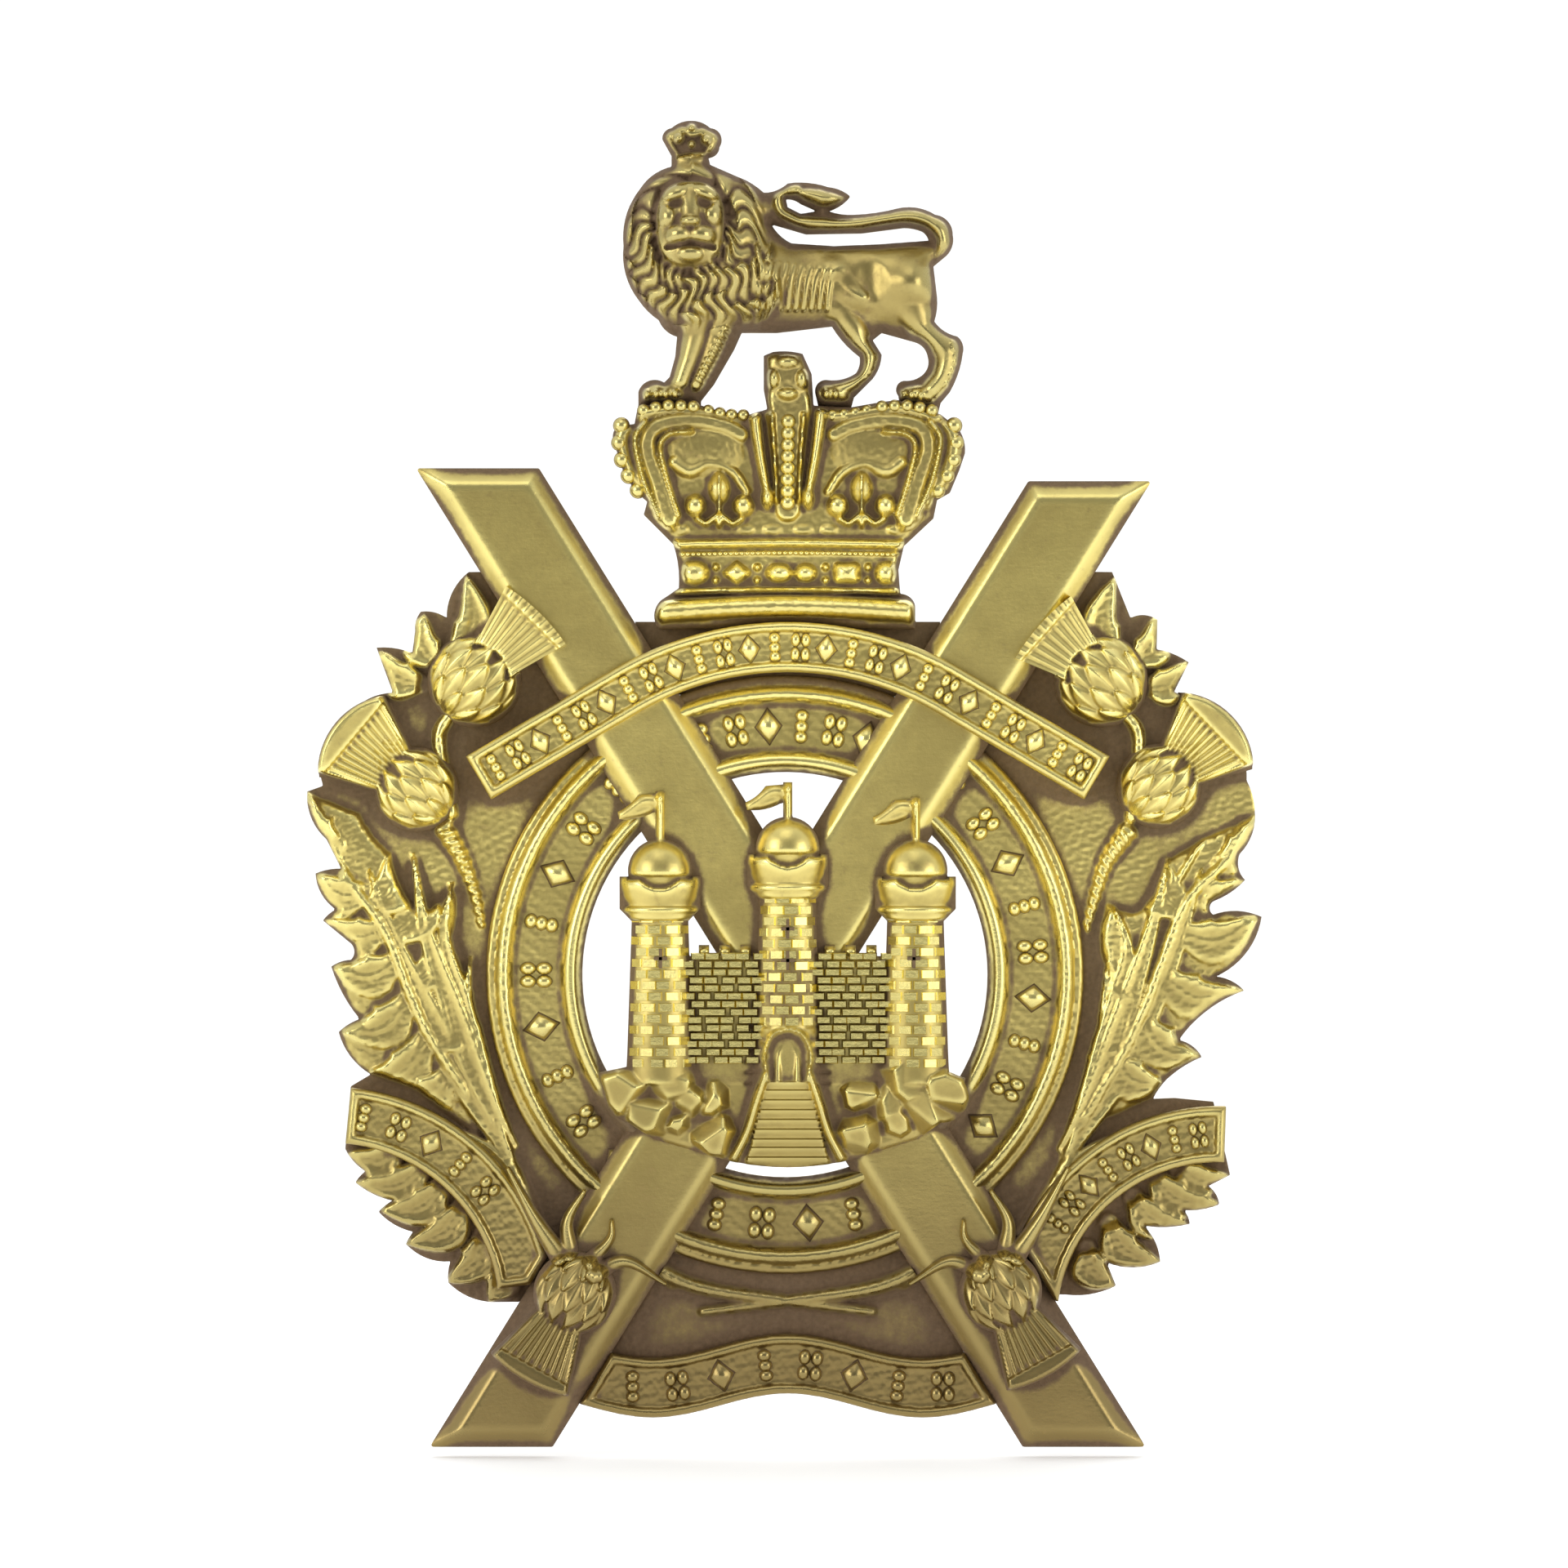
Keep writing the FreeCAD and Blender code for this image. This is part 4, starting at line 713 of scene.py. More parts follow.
def lion():
    relief = Relief(section("lion", 1.0), 0.062)
    bead, stroke = relief.bead, relief.stroke
    edge = 0.7 + 0.85 * shoulder(relief.inside, 1.3)
    trunk = relief.blank()
    for x, z, rx, rz, high, turn in (
        (3.0, 37.1, 7.6, 3.3, 0.8, 0), (-1.9, 37.2, 3.6, 4.2, 0.75, 8), (6.5, 37.0, 2.9, 3.2, 0.7, 0),
        (-4.9, 39.0, 5.6, 6.4, 1.1, 0), (7.0, 37.2, 1.7, 1.7, 0.45, 0), (-0.6, 37.6, 1.6, 2.2, 0.3, 0),
        (3.7, 36.2, 1.4, 0.8, 0.3, -20), (2.4, 37.9, 1.1, 0.8, 0.25, 0), (4.6, 37.2, 1.0, 1.5, -0.3, 10),
    ):
        relief.swell(trunk, x, z, rx, rz, high, turn)
    limbs = relief.strokes(relief.blank(), (
        ([(-4.9, 36.2), (-5.1, 34.2), (-5.9, 31.9)], (0.95, 0.62), (1.1, 0.75)),
        ([(-3.4, 35.8), (-4.0, 33.8), (-4.9, 31.6)], (0.9, 0.4), (0.85, 0.55)),
        ([(2.7, 35.6), (3.9, 34.0), (4.45, 33.0), (4.2, 32.1), (2.7, 31.4)], (0.9, 0.55), (0.75, 0.7)),
        ([(6.6, 36.0), (7.6, 34.6), (8.6, 33.4), (8.5, 32.2), (7.9, 31.4)], (1.15, 0.72), (1.0, 0.75)),
        ([(8.2, 37.9), (8.55, 39.0), (8.2, 40.1), (7.0, 40.7), (5.2, 40.65), (3.0, 40.2), (1.0, 40.4),
          (-0.2, 41.0), (-0.4, 41.8), (0.4, 42.2)], (0.52, 0.42), 0.72),
    ))
    bead(limbs, 1.8, 41.75, 1.7, 0.5, 0.7, -12, power=1.6)
    for paw_x, paw_z, toes in ((-6.9, 31.15, 4), (2.3, 31.15, 3), (6.9, 31.05, 3)):
        bead(limbs, paw_x + 0.2, paw_z, 1.15, 0.62, 0.75)
        for k in range(toes):
            bead(limbs, paw_x - 0.75 + 0.52 * k, paw_z - 0.08, 0.3, 0.42, 0.98)
    detail = relief.blank()
    stroke(detail, [(2.9, 37.7), (3.4, 37.0), (4.1, 36.4)], (0.45, 0.3), (0.08, 0.16))
    for k in range(10):
        x = -1.5 + 0.42 * k
        stroke(detail, [(x + 0.2, 38.2 - 0.05 * k), (x, 37.0), (x - 0.15, 35.7)], 0.17, (0.1, 0.24))
    for k in range(9):
        t = k / 8
        x, z = -2.9 - 1.5 * t, 34.3 - 2.7 * t
        stroke(detail, [(x - 0.5, z + 0.35), (x, z)], (0.16, 0.1), (0.2, 0.12))
    for line in ([(8.9, 33.9), (9.1, 32.8), (8.6, 31.6)], [(4.9, 33.6), (4.9, 32.6), (4.3, 31.9)]):
        fringe = smooth_line(line)
        for k in range(7):
            bead(detail, *fringe[int(k * (len(fringe) - 1) / 6)], 0.14, 0.2, 0.16)
    hairy = ramp(bead(relief.blank(), -4.6, 38.9, 5.0, 5.4, 1.0), 0.05, 0.35)
    hairy *= ramp(-0.7 + 0.28 * (38 - relief.z) - relief.x, -0.4, 0.4)
    hairy *= ramp(relief.z, 34.2, 35.6)
    body = smax(trunk, limbs, 0.12) + detail + mane(relief) * hairy
    square = 2.6
    look = np.abs((relief.x - FACE_AT[0]) / 1.85) ** square + np.abs((relief.z - FACE_AT[1]) / 2.35) ** square
    look = look ** (1 / square)
    head = 1.25 + 0.85 * dome(look)
    skin = relief.blank()
    for x, z, rx, rz, high, turn in (
        (-6.1, 41.95, 0.85, 0.46, 0.6, 20), (-4.4, 42.0, 0.85, 0.46, 0.6, -20),
        (-6.6, 40.6, 0.55, 0.62, 0.5, 0), (-3.95, 40.7, 0.52, 0.62, 0.48, 0),
        (-5.9, 39.6, 0.78, 0.62, 0.66, 10), (-4.6, 39.6, 0.76, 0.6, 0.64, -10),
        (-5.25, 38.55, 0.75, 0.45, 0.42, 0), (-5.25, 40.35, 0.66, 0.36, 0.85, 0),
    ):
        skin = smax(skin, bead(relief.blank(), x, z, rx, rz, high, turn), 0.06)
    skin = stroke(skin, [(-5.25, 43.0), (-5.3, 41.9), (-5.25, 40.7)], (0.4, 0.55), (0.25, 0.5))
    mouth = stroke(relief.blank(), [(-6.5, 38.95), (-5.25, 39.2), (-4.0, 38.95)], 0.16, 0.4)
    eyes = bead(bead(relief.blank(), -6.0, 41.3, 0.4, 0.22, 0.26, 14), -4.5, 41.3, 0.4, 0.22, 0.26, -14)
    gap = 0.3 * np.exp(-((look - 1.08) / 0.1) ** 2)
    whole = np.where(look < 1, np.maximum(body - 0.35, head) + skin - mouth - eyes, body) - gap
    hat = relief.strokes(relief.blank(), (
        ([(-6.15, 43.85), (-5.2, 43.75), (-4.3, 43.8)], 0.3, 0.5),
        ([(-6.1, 44.1), (-6.5, 44.9), (-5.8, 45.4), (-5.2, 45.2)], 0.26, 0.5),
        ([(-4.4, 44.1), (-3.9, 44.8), (-4.5, 45.3), (-5.2, 45.2)], 0.26, 0.5),
    ))
    for x, z, r in ((-5.2, 45.55, 0.3), (-5.9, 44.95, 0.36), (-4.4, 44.85, 0.36), (-5.2, 44.6, 0.26)):
        bead(hat, x, z, r, r, 0.85)
    relief.height = edge + np.maximum(whole, hat) * shoulder(relief.inside, 0.4)
    # painted shade: the whole lion is darkened as if its body lay in shade
    relief.soil_and_shade += 0.28
    struck("lion_relief", relief, np.maximum(0.4, hollow_back(relief) - 0.3), ["lion"])


# ---------------------------------------------------------------- crown
TANG_TOP = 19.0              # where the crown's foot begins


def crown():
    relief = Relief(section("crown", 1.6), 0.07)
    bead, stroke = relief.bead, relief.stroke
    base = 1.0 + 0.45 * shoulder(relief.inside, 0.5)
    layer = relief.blank()
    for s in (-1, 1):
        bead(layer, s * 4.6, 28.0, 2.7, 1.7, 0.85, s * -6, power=2.6)
        arch = [(6.4, 24.3), (7.0, 26.2), (7.6, 28.2), (7.1, 29.3), (5.4, 29.65), (3.6, 29.4), (2.5, 28.9)]
        stroke(layer, [(s * x, z) for x, z in arch], (0.62, 0.5), (1.1, 0.85), flat=0.3)
        relief.strokes(layer, (
            ([(7.0, 24.5), (7.8, 26.4), (8.25, 28.6), (7.7, 29.6)], 0.2, 1.25),
            ([(5.9, 24.5), (6.5, 26.4), (6.9, 28.2), (6.4, 28.9), (5.2, 29.05)], 0.2, 1.25),
            ([(7.7, 25.6), (8.6, 27.0), (9.0, 28.4), (8.7, 29.6)], (0.5, 0.55), 0.7),
            ([(8.1, 30.0), (6.4, 30.35), (4.9, 30.2), (3.3, 29.95), (2.0, 29.9)], (0.55, 0.4), (0.85, 0.6)),
            ([(1.8, 30.0), (1.5, 27.8), (1.15, 25.9)], (0.42, 0.3), 1.4),
            ([(0.85, 30.0), (0.7, 27.6), (0.6, 25.2)], (0.2, 0.14), 1.3),
            ([(6.1, 27.4), (5.3, 26.95), (4.2, 27.35), (3.0, 26.9), (2.2, 25.8)], (0.55, 0.34), (0.95, 0.75)),
        ), s)
        fx = -3.7 if s < 0 else 4.0
        bead(layer, fx, 25.95, 0.72, 1.15, 1.3, power=1.7)
        stroke(layer, [(fx, 26.7), (fx, 24.8)], (0.12, 0.2), 1.5)
        for k in (-1, 1):
            bead(layer, fx + k * 1.3, 25.05, 0.68, 0.72, 1.25)
            stroke(layer, [(fx + k * 0.15, 24.5), (fx + k * 0.7, 24.1), (fx + k * 1.2, 24.35)], 0.22, 1.1)
        bead(layer, fx, 24.2, 0.3, 0.42, 1.15)
        for x, z, rx, rz, high, turn in (
            (5.75, 23.75, 0.7, 0.5, 0.62, 0), (2.25, 23.75, 0.8, 0.5, 0.62, 0),
            (0.85, 23.75, 0.9, 0.5, 0.62, 0), (1.1, 25.5, 0.42, 0.72, 1.65, 0),
            (6.6, 24.3, 1.1, 0.55, 0.95, 38), (7.5, 25.3, 0.6, 0.45, 0.95, 60),
        ):
            bead(layer, s * x, z, rx, rz, high, s * turn)
    stroke(layer, [(0, 30.4), (0, 27.4), (0, 24.9)], (1.45, 0.75), (0.9, 0.8), flat=0.7)
    layer = np.maximum(layer, 0.45 * ((relief.z > 22.8) & (relief.z < 31)))
    layer = np.maximum(layer, 0.5 * ((np.abs(relief.x) < 5.95) & (relief.z > 20.3) & (relief.z < 22.9)))
    relief.strokes(layer, (
        ([(-6.1, 22.95), (0, 23.03), (6.1, 22.95)], 0.32, 1.2),
        ([(-6.1, 20.42), (0, 20.5), (6.1, 20.42)], 0.22, 0.95),
        ([(-6.1, 22.45), (0, 22.53), (6.1, 22.45)], 0.16, 0.7),
        ([(-7.0, 18.5), (0, 18.8), (7.0, 18.5)], 0.3, 0.75),
        ([(-6.7, 19.3), (-3.5, 19.5), (0, 19.6), (3.5, 19.5), (6.6, 19.3)], 0.72, 1.5),
    ))
    for x, rx, rz, high, power in (
        (-5.05, 0.936, 0.775, 1.4, 2), (-2.75, 0.9, 0.75, 1.25, 1.2), (-0.45, 0.864, 0.625, 1.35, 2),
        (0.95, 0.744, 0.6, 1.3, 2), (3.2, 0.864, 0.6875, 1.25, 4), (5.3, 0.72, 0.725, 1.4, 2),
    ):
        bead(layer, x, 21.4, rx, rz, high, power=power)
    for x in (-3.9, 2.05, 4.35, -1.65):
        for z in (21.0, 21.72):
            bead(layer, x, z, 0.24, 0.26, 1.0)
    block = relief.blank()
    bead(block, 0, 32.0, 1.35, 1.75, 1.1, power=5)
    for row in ((0, 32.8, 0.85, 0.6), (-0.75, 31.9, 0.5, 0.75), (0.75, 31.9, 0.5, 0.75), (0, 31.1, 0.8, 0.5)):
        bead(block, *row, 1.4)
    layer = np.maximum(layer, block)
    layer = layer * (0.35 + 0.65 * shoulder(relief.inside, 0.35))
    relief.height = base + layer + pitted(relief, 0.02, 0.5, 31)
    struck("crown_relief", relief, hollow_back(relief), ["crown"])
    tang = Relief(section("crown", WEB / 2), 0.12)
    tang.inside = np.minimum(tang.inside, TANG_TOP - tang.z)
    tang.height = web_height(tang)
    struck("crown_tang", tang, tang.blank(), [])


# ---------------------------------------------------------------- castle
# each tower's middle, foot, top and the top of its pole
TOWERS = ((-6.9, -6.2, 2.6, 9.6), (0.0, -6.6, 3.8, 10.1), (6.9, -6.2, 2.6, 9.3))
TOWER_R = (1.85, 1.55)       # at the foot and under the head
HEAD_TALL = 2.5
WALLS = ((-5.6, -1.2), (1.2, 5.6))
LEDGE = -6.2                 # where the walls stand and the stairs begin
HEAD = ((0, 1.6), (0.1, 1.86), (0.45, 1.95), (0.52, 2.1), (0.72, 2.1), (0.8, 1.85), (1.3, 2.05), (1.9, 2.22),
        (2.3, 2.2), (2.5, 1.7))         # its radius by the height above the tower's top


def tower_height(relief, x, foot, top, pole_top):
    """A half-round tower with a corbelled head, a dome, a flagpole and a pennant."""
    dx = np.abs(relief.x - x)
    z = relief.z
    share = np.clip((z - foot) / (top - foot), 0, 1)
    head = np.interp(z - top, *zip(*HEAD))
    radius = np.where(z < top, TOWER_R[0] + (TOWER_R[1] - TOWER_R[0]) * share, head)
    radius *= (z > foot) & (z < top + HEAD_TALL)
    shape = 0.92 * np.sqrt(np.maximum(0, radius ** 2 - dx ** 2))
    notch = top + 1.75 + 0.5 * np.clip(dx / 1.1, 0, 1) ** 2
    cap = relief.bead(relief.blank(), x, top + 2.7, 1.78, 1.75, 2.0)
    shape = np.where((z > notch) & (dx < 1.78), np.maximum(cap - 0.3 * (z < top + HEAD_TALL), 0), shape)
    relief.stroke(shape, [(x + 0.05, top + 4.2), (x + 0.05, pole_top - 0.25)], 0.3, 0.85)
    relief.bead(shape, x + 0.05, pole_top - 0.4, 0.36, 0.3, 1.0)
    relief.stroke(shape, [(x, pole_top - 0.6), (x - 0.8, pole_top - 0.5), (x - 1.6, pole_top - 1.0),
                          (x - 2.4, pole_top - 1.6)], (0.45, 0.3), (0.6, 0.35))
    return shape


def boulder(relief, x, z, radius, rng):
    """Height of a stone cut by flat facets."""
    dx, dz = relief.x - x, relief.z - z
    first = rng.uniform(0, 1)
    facets = [0.3 + radius * 0.8 + rng.uniform(-0.25, 0.25) * dx + rng.uniform(-0.1, 0.35) * dz]
    for k in range(7):
        turn = (first + k + rng.uniform(-0.2, 0.2)) * 2 * math.pi / 7
        out = dx * math.cos(turn) + dz * math.sin(turn)
        facets.append((radius * rng.uniform(1.1, 1.3) - out) * rng.uniform(0.9, 2.6))
    return np.maximum(0, np.minimum.reduce(facets))


def castle():
    relief = Relief(section("castle", FACE + 0.25), 0.076)
    layer = 0.4 * shoulder(relief.inside, 0.3)
    for x0, x1 in WALLS:
        wall = (relief.x > x0) & (relief.x < x1) & (relief.z > LEDGE) & (relief.z < 1.2)
        layer = np.maximum(layer, 0.42 * wall)
        relief.stroke(layer, [(x0, 0.95), (x1, 0.95)], 0.22, 0.66, flat=0.3)
    for tower in TOWERS:
        layer = np.maximum(layer, tower_height(relief, *tower))
    rng = np.random.default_rng(8)
    for x, z, r in ((8.9, -6.3, 1.6), (6.6, -6.1, 1.55), (7.6, -7.5, 1.5), (5.4, -7.1, 1.1),
                    (4.0, -6.9, 1.05), (3.9, -8.9, 1.25), (9.7, -5.5, 0.8), (5.9, -8.2, 0.9)):
        for s in (-1, 1):
            layer = np.maximum(layer, boulder(relief, s * x, z, r, rng))
    door = (np.abs(relief.x + 0.05) < 0.95) & (relief.z < -4.4) & (relief.z > -6.3)
    arch = np.hypot(relief.x + 0.05, relief.z + 4.4) < 0.95
    flank = (np.abs(relief.x) > 1.0) & (np.abs(relief.x) < 2.3) & (relief.z > -6.3) & (relief.z < -3.0)
    layer = layer - 0.16 * flank * ramp(np.cos(2 * math.pi * relief.z / 0.62), 0.55, 0.95)
    layer = np.where(door | arch, np.minimum(layer, 1.2), layer)
    for s in (-1, 1):
        relief.strokes(layer, (
            ([(0.55, -5.9), (0.5, -4.6), (0.12, -3.9)], (0.42, 0.12), (1.5, 1.2)),
            ([(1.05, -6.0), (1.25, -4.6), (0.8, -3.5), (0, -3.2)], 0.22, 1.9),
        ), s)
    slope = np.clip(1.55 - 0.2 * (LEDGE - relief.z), 0.45, 1.6)
    treads = (np.abs(relief.x) < 1.1 + 0.26 * (-6.0 - relief.z)) & (relief.z < -6.0)
    step = 0.52
    rise = (-6.0 - relief.z) / step % 1.0
    layer = np.where(treads, np.maximum(0.3, slope - 0.24 * rise), layer)
    side_wall = [(1.2, -5.7), (1.7, -7.2), (2.2, -8.8), (2.9, -10.2)]
    for s in (-1, 1):
        relief.strokes(layer, [(side_wall, (0.36, 0.34), (1.9, 1.0))], s)
    for x, foot, top, _ in TOWERS:
        low = -2.9 if x == 0 else foot + 0.8
        relief.soil_and_shade += 0.25 * ((np.abs(relief.x - x) < 1.9) & (relief.z > low) & (relief.z < top))
    relief.soil_and_shade += 0.35 * ((np.abs(relief.x) < WALLS[1][1]) & (relief.z > LEDGE) & (relief.z < 1.0))
    relief.height = FACE + layer * (0.5 + 0.5 * shoulder(relief.inside, 0.22))
    struck("castle_relief", relief, np.full_like(relief.x, FACE - 0.05), ["castle"])


# ---------------------------------------------------------------- node trees
def combined(operation, swapped=False):
    """An operator that joins a value and another value or number by a maths node."""
    def operator(self, other):
        return self.owner.maths(operation, *((other, self) if swapped else (self, other)))
    return operator


class Value:
    """A socket that takes part in sums."""

    __add__, __radd__ = combined("ADD"), combined("ADD", True)
    __sub__, __rsub__ = combined("SUBTRACT"), combined("SUBTRACT", True)
    __mul__, __rmul__ = combined("MULTIPLY"), combined("MULTIPLY", True)
    __truediv__, __mod__ = combined("DIVIDE"), combined("MODULO")

    def __init__(self, owner, socket):
        self.owner, self.socket = owner, socket

    def clamped(self):
        return self.owner.node("ShaderNodeClamp", {}, self)


class Nodes:
    """A node tree whose nodes are added one call at a time."""

    def __init__(self, tree):
        self.tree = tree

    def node(self, kind, settings=None, *values, out=0, **named):
        """Adds a node. Values go to its sockets by their order, or by their name with _ for a space."""
        made = self.tree.nodes.new(kind)
        for key, value in (settings or {}).items():
            setattr(made, key, value)
        for key, value in [*enumerate(values), *named.items()]:
            self.put(made.inputs[key if isinstance(key, int) else key.replace("_", " ")], value)
        return Value(self, made.outputs[out])

    def put(self, socket, value):
        """Links one value or a list of them to a socket, or sets what it holds."""
        if isinstance(value, (Value, list)):
            for one in value if isinstance(value, list) else [value]:
                self.tree.links.new(one.socket, socket)
        elif socket.type == "RGBA" and len(value) == 3:
            socket.default_value = (*value, 1)
        else:
            socket.default_value = value

    def maths(self, operation, *values):
        return self.node("ShaderNodeMath", {"operation": operation}, *values)

    def split(self, vector, axis):
        return self.node("ShaderNodeSeparateXYZ", {}, vector, out=axis)


# ---------------------------------------------------------------- repeated pieces
class Graph(Nodes):
    """A geometry node tree with named inputs."""

    def __init__(self, name):
        super().__init__(bpy.data.node_groups.new(name, "GeometryNodeTree"))
        self.ids = {}
        for way in ("INPUT", "OUTPUT"):
            self.tree.interface.new_socket("Geometry", in_out=way, socket_type="NodeSocketGeometry")
        self.start = self.tree.nodes.new("NodeGroupInput")
        self.end = self.tree.nodes.new("NodeGroupOutput")

    def given(self, name, kind="Float"):
        """A named input of the tree."""
        socket = self.tree.interface.new_socket(name, in_out="INPUT", socket_type=f"NodeSocket{kind}")
        self.ids[name] = socket.identifier
        return Value(self, self.start.outputs[name])

    def spaced(self, count):
        """Points spread evenly along the line that the tree is given."""
        line = self.node("GeometryNodeMeshToCurve", {}, Value(self, self.start.outputs[0]))
        return self.node("GeometryNodeResampleCurve", Curve=line, Count=count)

    def moved(self, shape, **how):
        return self.node("GeometryNodeTransform", {}, shape, **how)

    def vector(self, x, y, z):
        return self.node("ShaderNodeCombineXYZ", {}, x, y, z)

    def chance(self, low, high, seed):
        return self.node("FunctionNodeRandomValue", Min=low, Max=high, Seed=seed, out=1)

    def compare(self, operation, a, b):
        return self.node("FunctionNodeCompare", {"operation": operation}, a, b)

    def close(self, instances, round_faces=True):
        solid = self.node("GeometryNodeRealizeInstances", {}, instances)
        smooth = self.node("GeometryNodeSetShadeSmooth", {}, solid, Shade_Smooth=round_faces)
        self.put(self.end.inputs[0], self.node("GeometryNodeSetMaterial", {}, smooth, Material=BRASS))
        return self


def ornament_tree():
    """Cut ornaments along a line: a lozenge, a quatrefoil and a bar of pearls by turns."""
    g = Graph("ornaments_on_a_line")
    count, high, wide, deep = g.given("Count", "Int"), g.given("Height"), g.given("Width"), g.given("Depth")
    lozenge = g.node("GeometryNodeMeshCone", Vertices=4, Side_Segments=2, Fill_Segments=1, Radius_Top=0.2,
                     Radius_Bottom=0.62, Depth=0.32)
    pearl = g.node("GeometryNodeMeshUVSphere", Segments=12, Rings=7, Radius=0.27)
    foil = [g.moved(pearl, Translation=(x, 0, z)) for z in (0.26, -0.26) for x in (0.26, -0.26)]
    bar = [g.moved(pearl, Translation=(0, 0, z), Scale=(1.15, 1, 0.8)) for z in (-0.34, 0.0, 0.34)]
    kinds = [g.moved(lozenge, Rotation=(math.pi / 2, 0, 0))]
    kinds += [g.node("GeometryNodeJoinGeometry", {}, group) for group in (foil, bar)]
    turn = g.node("FunctionNodeAlignRotationToVector", {"axis": "X", "pivot_axis": "Y"},
                  Vector=g.node("GeometryNodeInputTangent"))
    return g.close(g.node(
        "GeometryNodeInstanceOnPoints", Points=g.spaced(count), Pick_Instance=True, Rotation=turn,
        Instance=g.node("GeometryNodeGeometryToInstance", {}, kinds),
        Instance_Index=g.node("GeometryNodeInputIndex") % 3, Scale=g.vector(wide, deep, high)))


def pearl_tree():
    g = Graph("pearls_on_a_line")
    count, radius, deep = g.given("Count", "Int"), g.given("Radius"), g.given("Depth")
    pearl = g.node("GeometryNodeMeshUVSphere", Segments=16, Rings=10, Radius=1.0)
    return g.close(g.node("GeometryNodeInstanceOnPoints", Points=g.spaced(count), Instance=pearl,
                          Scale=g.vector(radius, deep, radius)))


def block_tree():
    """Courses of rounded blocks round an upright half cylinder, every other course half a block on."""
    g = Graph("courses_of_blocks")
    courses, blocks = g.given("Courses", "Int"), g.given("Blocks", "Int")
    pitch, rise = g.given("Block_Pitch"), g.given("Course_Height")
    low_r, high_r = g.given("Foot_Radius"), g.given("Top_Radius")
    bend, thick, seed = g.given("Bend_Radius"), g.given("Thickness"), g.given("Seed", "Int")
    total = rise * (courses - 1)
    grid = g.node("GeometryNodeMeshGrid", Size_X=pitch * (blocks - 1), Size_Y=total, Vertices_X=blocks,
                  Vertices_Y=courses)
    here = g.node("GeometryNodeInputPosition")
    up = g.split(here, 1)
    odd = g.maths("ROUND", (up + rise * 50) / rise) % 2
    moved = g.split(here, 0) + pitch * (odd * 0.5 + g.chance(-0.12, 0.12, seed)) - pitch * 0.25
    radius = low_r + (up / total + 0.5) * (high_r - low_r)
    angle = moved / bend
    place_at = g.vector(radius * g.maths("SINE", angle), low_r - radius * g.maths("COSINE", angle), up)
    kind = {"data_type": "FLOAT"}
    marked = g.node("GeometryNodeStoreNamedAttribute", kind, Geometry=grid, Name="turn", Value=angle)
    set_at = g.node("GeometryNodeSetPosition", Geometry=marked, Position=place_at)
    turn = g.node("GeometryNodeInputNamedAttribute", kind, Name="turn")
    kept = g.node("GeometryNodeDeleteGeometry", Geometry=set_at,
                  Selection=g.compare("GREATER_THAN", g.maths("ABSOLUTE", turn), 1.05))
    cube = g.node("GeometryNodeMeshCube", Size=(1, 1, 1), Vertices_X=3, Vertices_Y=2, Vertices_Z=3)
    inward = g.node("ShaderNodeVectorMath", {"operation": "MULTIPLY"}, here, (-0.16, 0, -0.24))
    block = g.node("GeometryNodeSetPosition", Geometry=cube, Offset=inward,
                   Selection=g.compare("LESS_THAN", g.split(here, 1), 0.0))
    size = g.vector(pitch * g.chance(0.88, 0.99, seed + 5), thick * g.chance(0.8, 1.15, seed), rise * 0.92)
    facing = g.node("FunctionNodeAxisAngleToRotation", Axis=(0, 0, 1), Angle=turn)
    return g.close(g.node("GeometryNodeInstanceOnPoints", Points=kept, Instance=block, Rotation=facing,
                          Scale=size), round_faces=False)


def grown(name, mesh, graph, values, origin, high=None):
    """Runs a tree on a mesh, and makes a piece of the result at its place, with dirt and painted shade by its
    depth above it.

    Without a height, all of it is as clean."""
    holder = bpy.data.objects.new(name + "_seed", mesh)
    bpy.context.scene.collection.objects.link(holder)
    modifier = holder.modifiers.new("grow", "NODES")
    modifier.node_group = graph.tree
    for key, value in values.items():
        modifier[graph.ids[key]] = value
    result = bpy.data.meshes.new_from_object(holder.evaluated_get(bpy.context.evaluated_depsgraph_get()))
    bpy.data.objects.remove(holder)
    co = np.empty(len(result.vertices) * 3)
    result.vertices.foreach_get("co", co)
    x, z, depth = origin[0] + co[0::3], origin[1] + co[2::3], origin[2] - co[1::3]
    result.vertices.foreach_set("co", np.stack(row_point(x, z, depth), 1).ravel())
    result.update()
    share = (depth - origin[2]) / high if high else np.full(len(depth), 0.85)
    # darker towards the foot with dirt and painted shade, rubbed towards the top
    dress(result, 1 - ramp(share, 0.1, 0.6), ramp(share, 0.4, 1.0))
    place(name, result)


def line_mesh(points):
    """A line of (x, z) points on the plane y = 0."""
    mesh = bpy.data.meshes.new("line")
    mesh.from_pydata([(x, 0, z) for x, z in points], [(k, k + 1) for k in range(len(points) - 1)], [])
    return mesh


def arc_points(centre, radius, start, stop):
    """Points along an arc, in degrees above +X."""
    turns = np.radians(np.linspace(start, stop, 40))
    return [(centre[0] + radius * math.cos(a), centre[1] + radius * math.sin(a)) for a in turns]


